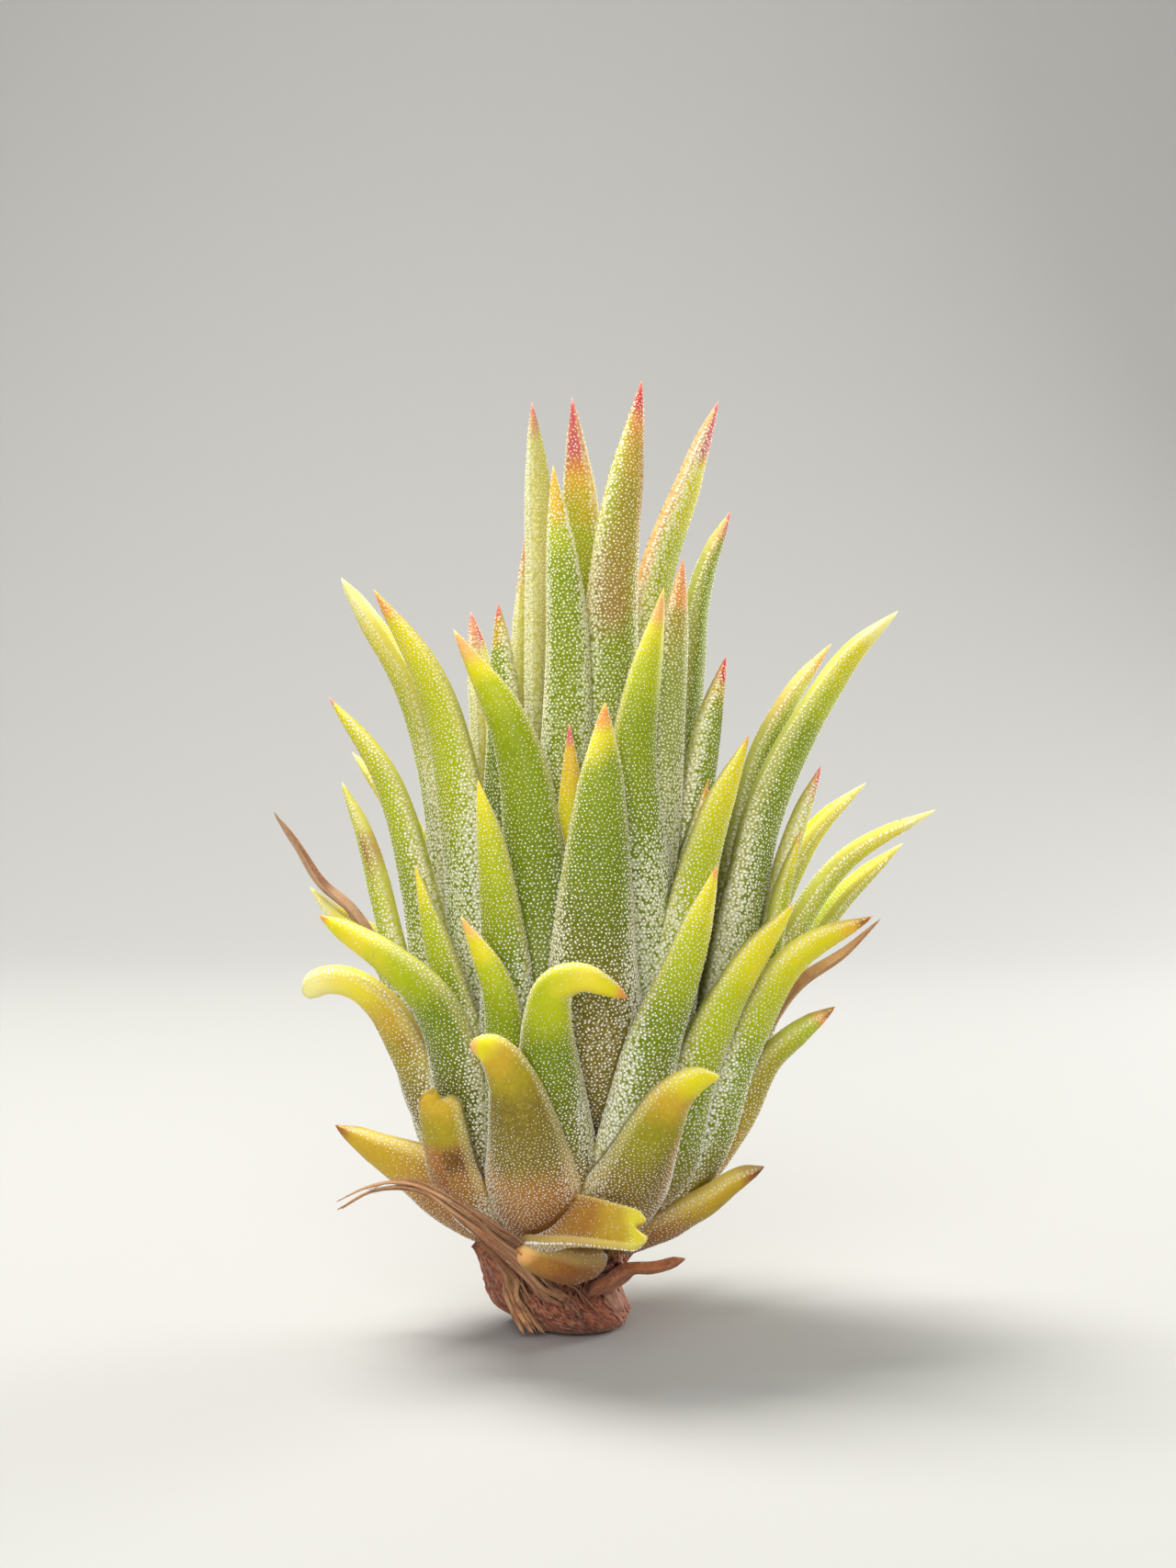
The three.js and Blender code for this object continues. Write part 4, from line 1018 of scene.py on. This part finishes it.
def tube_mesh(path, radii, sides=16, flat=1.0, twist=0.0):
    """A closed body along a path of points, with a radius at each, which may be flat and twisted"""
    path = np.array(path, float)
    tangents = unit(np.gradient(path, axis=0))
    side = unit(np.cross(tangents, (0.3, 0.9, 0.1)))
    other = np.cross(tangents, side)
    turn = (twist * np.linspace(0, 1, len(path)))[:, None]
    wide, thin = side * np.cos(turn) + other * np.sin(turn), other * np.cos(turn) - side * np.sin(turn)
    angle = np.arange(sides) * 2 * math.pi / sides
    ring = (path[:, None] + wide[:, None] * (radii[:, None] * np.cos(angle))[..., None]
            + thin[:, None] * (flat * radii[:, None] * np.sin(angle))[..., None])
    rows = len(path)
    points = np.vstack([ring.reshape(-1, 3), path[:1], path[-1:]])
    shape = (rows, sides)
    along = on_rings(np.linspace(0, 1, rows)[:, None], shape, (0, 1))
    return points, closed_faces(rows, sides), {"along": along, "across": on_rings(np.sin(angle), shape)}


def stem_mesh():
    z = np.linspace(STEM_FOOT, STEM_TOP, 24)
    return tube_mesh(np.stack([axis_x(z), 0 * z, z], axis=1), stem_radius(z), 32)


def root_mesh():
    t = np.linspace(0, 1, 18)
    start, end = np.array(ROOT_FROM, float), np.array(ROOT_TO, float)
    path = mix(start, end, t[:, None])
    radii = ROOT_RADIUS * (1 - 0.28 * t) * (1 + 0.08 * np.sin(19 * t))
    radii[-1] *= 0.6
    return tube_mesh(path, radii)


# The stage, the lights and the camera, in metres
FLOOR_HALF = 0.9
FLOOR_FRONT = -0.6
BEND_FROM = 0.25
BEND_RADIUS = 0.2
BEND_STEPS = 12
WALL_TOP = 1.0
FLOOR_GREY = (0.42, 0.42, 0.413, 1)
# Name, place, size, power and colour
LIGHTS = (
    ("key", (-0.12, 0.10, 0.42), 0.22, 2.95, (1.0, 0.98, 0.93)),
    ("fill", (-0.04, -0.42, 0.24), 0.35, 1.5, (1, 1, 1)),
    ("rim", (0.30, 0.22, 0.12), 0.16, 1.1, (1.0, 0.99, 0.96)),
)
LIGHT_TARGET = (0, 0, 0.035)
SKY = (1.0, 0.98, 0.94, 1)
SKY_POWER = 0.27


def make_stage():
    """A pale floor that turns up into a backdrop"""
    profile = [(FLOOR_FRONT, 0.0), (BEND_FROM, 0.0)]
    for k in range(1, BEND_STEPS + 1):
        angle = k / BEND_STEPS * math.pi / 2
        profile.append((BEND_FROM + BEND_RADIUS * math.sin(angle), BEND_RADIUS * (1 - math.cos(angle))))
    profile.append((BEND_FROM + BEND_RADIUS, WALL_TOP))
    points = [(side * FLOOR_HALF, y, z) for y, z in profile for side in (-1, 1)]
    faces = [(a, a + 1, a + 3, a + 2) for a in range(0, len(points) - 2, 2)]
    material, tree = new_material("floor")
    surface_of(tree, {"Base Color": FLOOR_GREY, "Roughness": 0.8})
    floor = smooth_object("floor", points, faces, material)


def make_lights():
    for name, place, size, power, color in LIGHTS:
        data = bpy.data.lights.new(name, "AREA")
        data.shape = "DISK"
        data.size = size
        data.energy = power
        data.color = color
        light = bpy.data.objects.new(name, data)
        light.location = place
        direction = Vector(LIGHT_TARGET) - Vector(place)
        light.rotation_euler = direction.to_track_quat("-Z", "Y").to_euler()
        bpy.context.scene.collection.objects.link(light)
    world = bpy.data.worlds.new("world")
    world.use_nodes = True
    sky = world.node_tree.nodes["Background"].inputs
    sky[0].default_value = SKY
    sky[1].default_value = SKY_POWER
    bpy.context.scene.world = world
    bpy.context.scene.view_settings.view_transform = "Standard"


def make_camera():
    data = bpy.data.cameras.new("camera")
    data.lens = LENS
    data.sensor_width = 36.0
    data.clip_start = 0.01
    data.clip_end = 10.0
    camera = bpy.data.objects.new("camera", data)
    target = Vector(VIEW_TARGET) * MM
    direction = Vector((0, math.cos(VIEW_DOWN), -math.sin(VIEW_DOWN)))
    camera.location = target - direction * VIEW_DISTANCE * MM
    camera.rotation_euler = direction.to_track_quat("-Z", "Y").to_euler()
    bpy.context.scene.collection.objects.link(camera)
    bpy.context.scene.camera = camera


def main():
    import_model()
    make_camera()
    make_stage()
    make_lights()
    materials = {name: leaf_material(name) for name in LOOKS}
    dry = {name: dry_material(name, *values) for name, values in DRY_LOOKS.items()}
    pale = scale_material()
    rng = np.random.default_rng(7)

    # the leaves, each in its node's place
    surfaces = {}
    solids = []
    for group, node_name, leaf in all_leaves():
        surface = leaf_surface(leaf, HOOK_RINGS if leaf.point_from > HOOK_FROM else RINGS)
        points, faces, attributes = leaf_mesh(surface)
        piece = make_object("fine_" + leaf.name, points, faces, attributes, materials[leaf.look],
                            LOOKS[leaf.look]["slot"])
        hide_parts(node_name)
        surfaces.setdefault(group, []).append(surface)
        solids.append((points, faces, {}))

    # dry remains
    for leaf in DRY:
        piece = make_object("fine_" + leaf.name, *dry_leaf_mesh(leaf), dry[leaf.name], "dry")
        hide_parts(leaf.name)
    piece = make_object("fine_dry_sheath", *lump_mesh(), dry["dry_lump"], "dry")
    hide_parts("dry_sheath")
    layers = merged([layer_mesh(*row, rng) for row in LAYERS])
    make_object("dry_layers", *layers, dry["dry_layers"], "dry")
    make_object("dry_strips", *merged(strip_meshes(rng)), dry["dry_strips"], "dry")

    # the stem and the root
    piece = make_object("fine_stem", *merged([stem_mesh(), root_mesh()]), dry["root_pale"], "stem")
    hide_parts("stem")

    # scales and hairs
    points, faces, _ = merged(solids)
    tree = BVHTree.FromPolygons(points.tolist(), faces)
    for group, some in surfaces.items():
        made = []
        for surface in some:
            wider = REAR_SPACING if group == "rear_leaves" else 1.0
            spacing = wider * LOOKS[surface["leaf"].look]["spacing"]
            places = in_the_open(scale_places(surface, spacing, rng), tree)
            made.append(scale_solids(places, SCALE_REACH * spacing, SCALE_HEIGHT, SCALE_LEAN, rng))
            hairs = in_the_open(margin_places(surface, wider * HAIR_SPACING, rng), tree)
            made.append(scale_solids(hairs, HAIR_RADIUS, HAIR_HEIGHT, HAIR_LEAN, rng))
        make_object("scales_on_" + group, *merged(made), pale, "leaf_silver")


main()
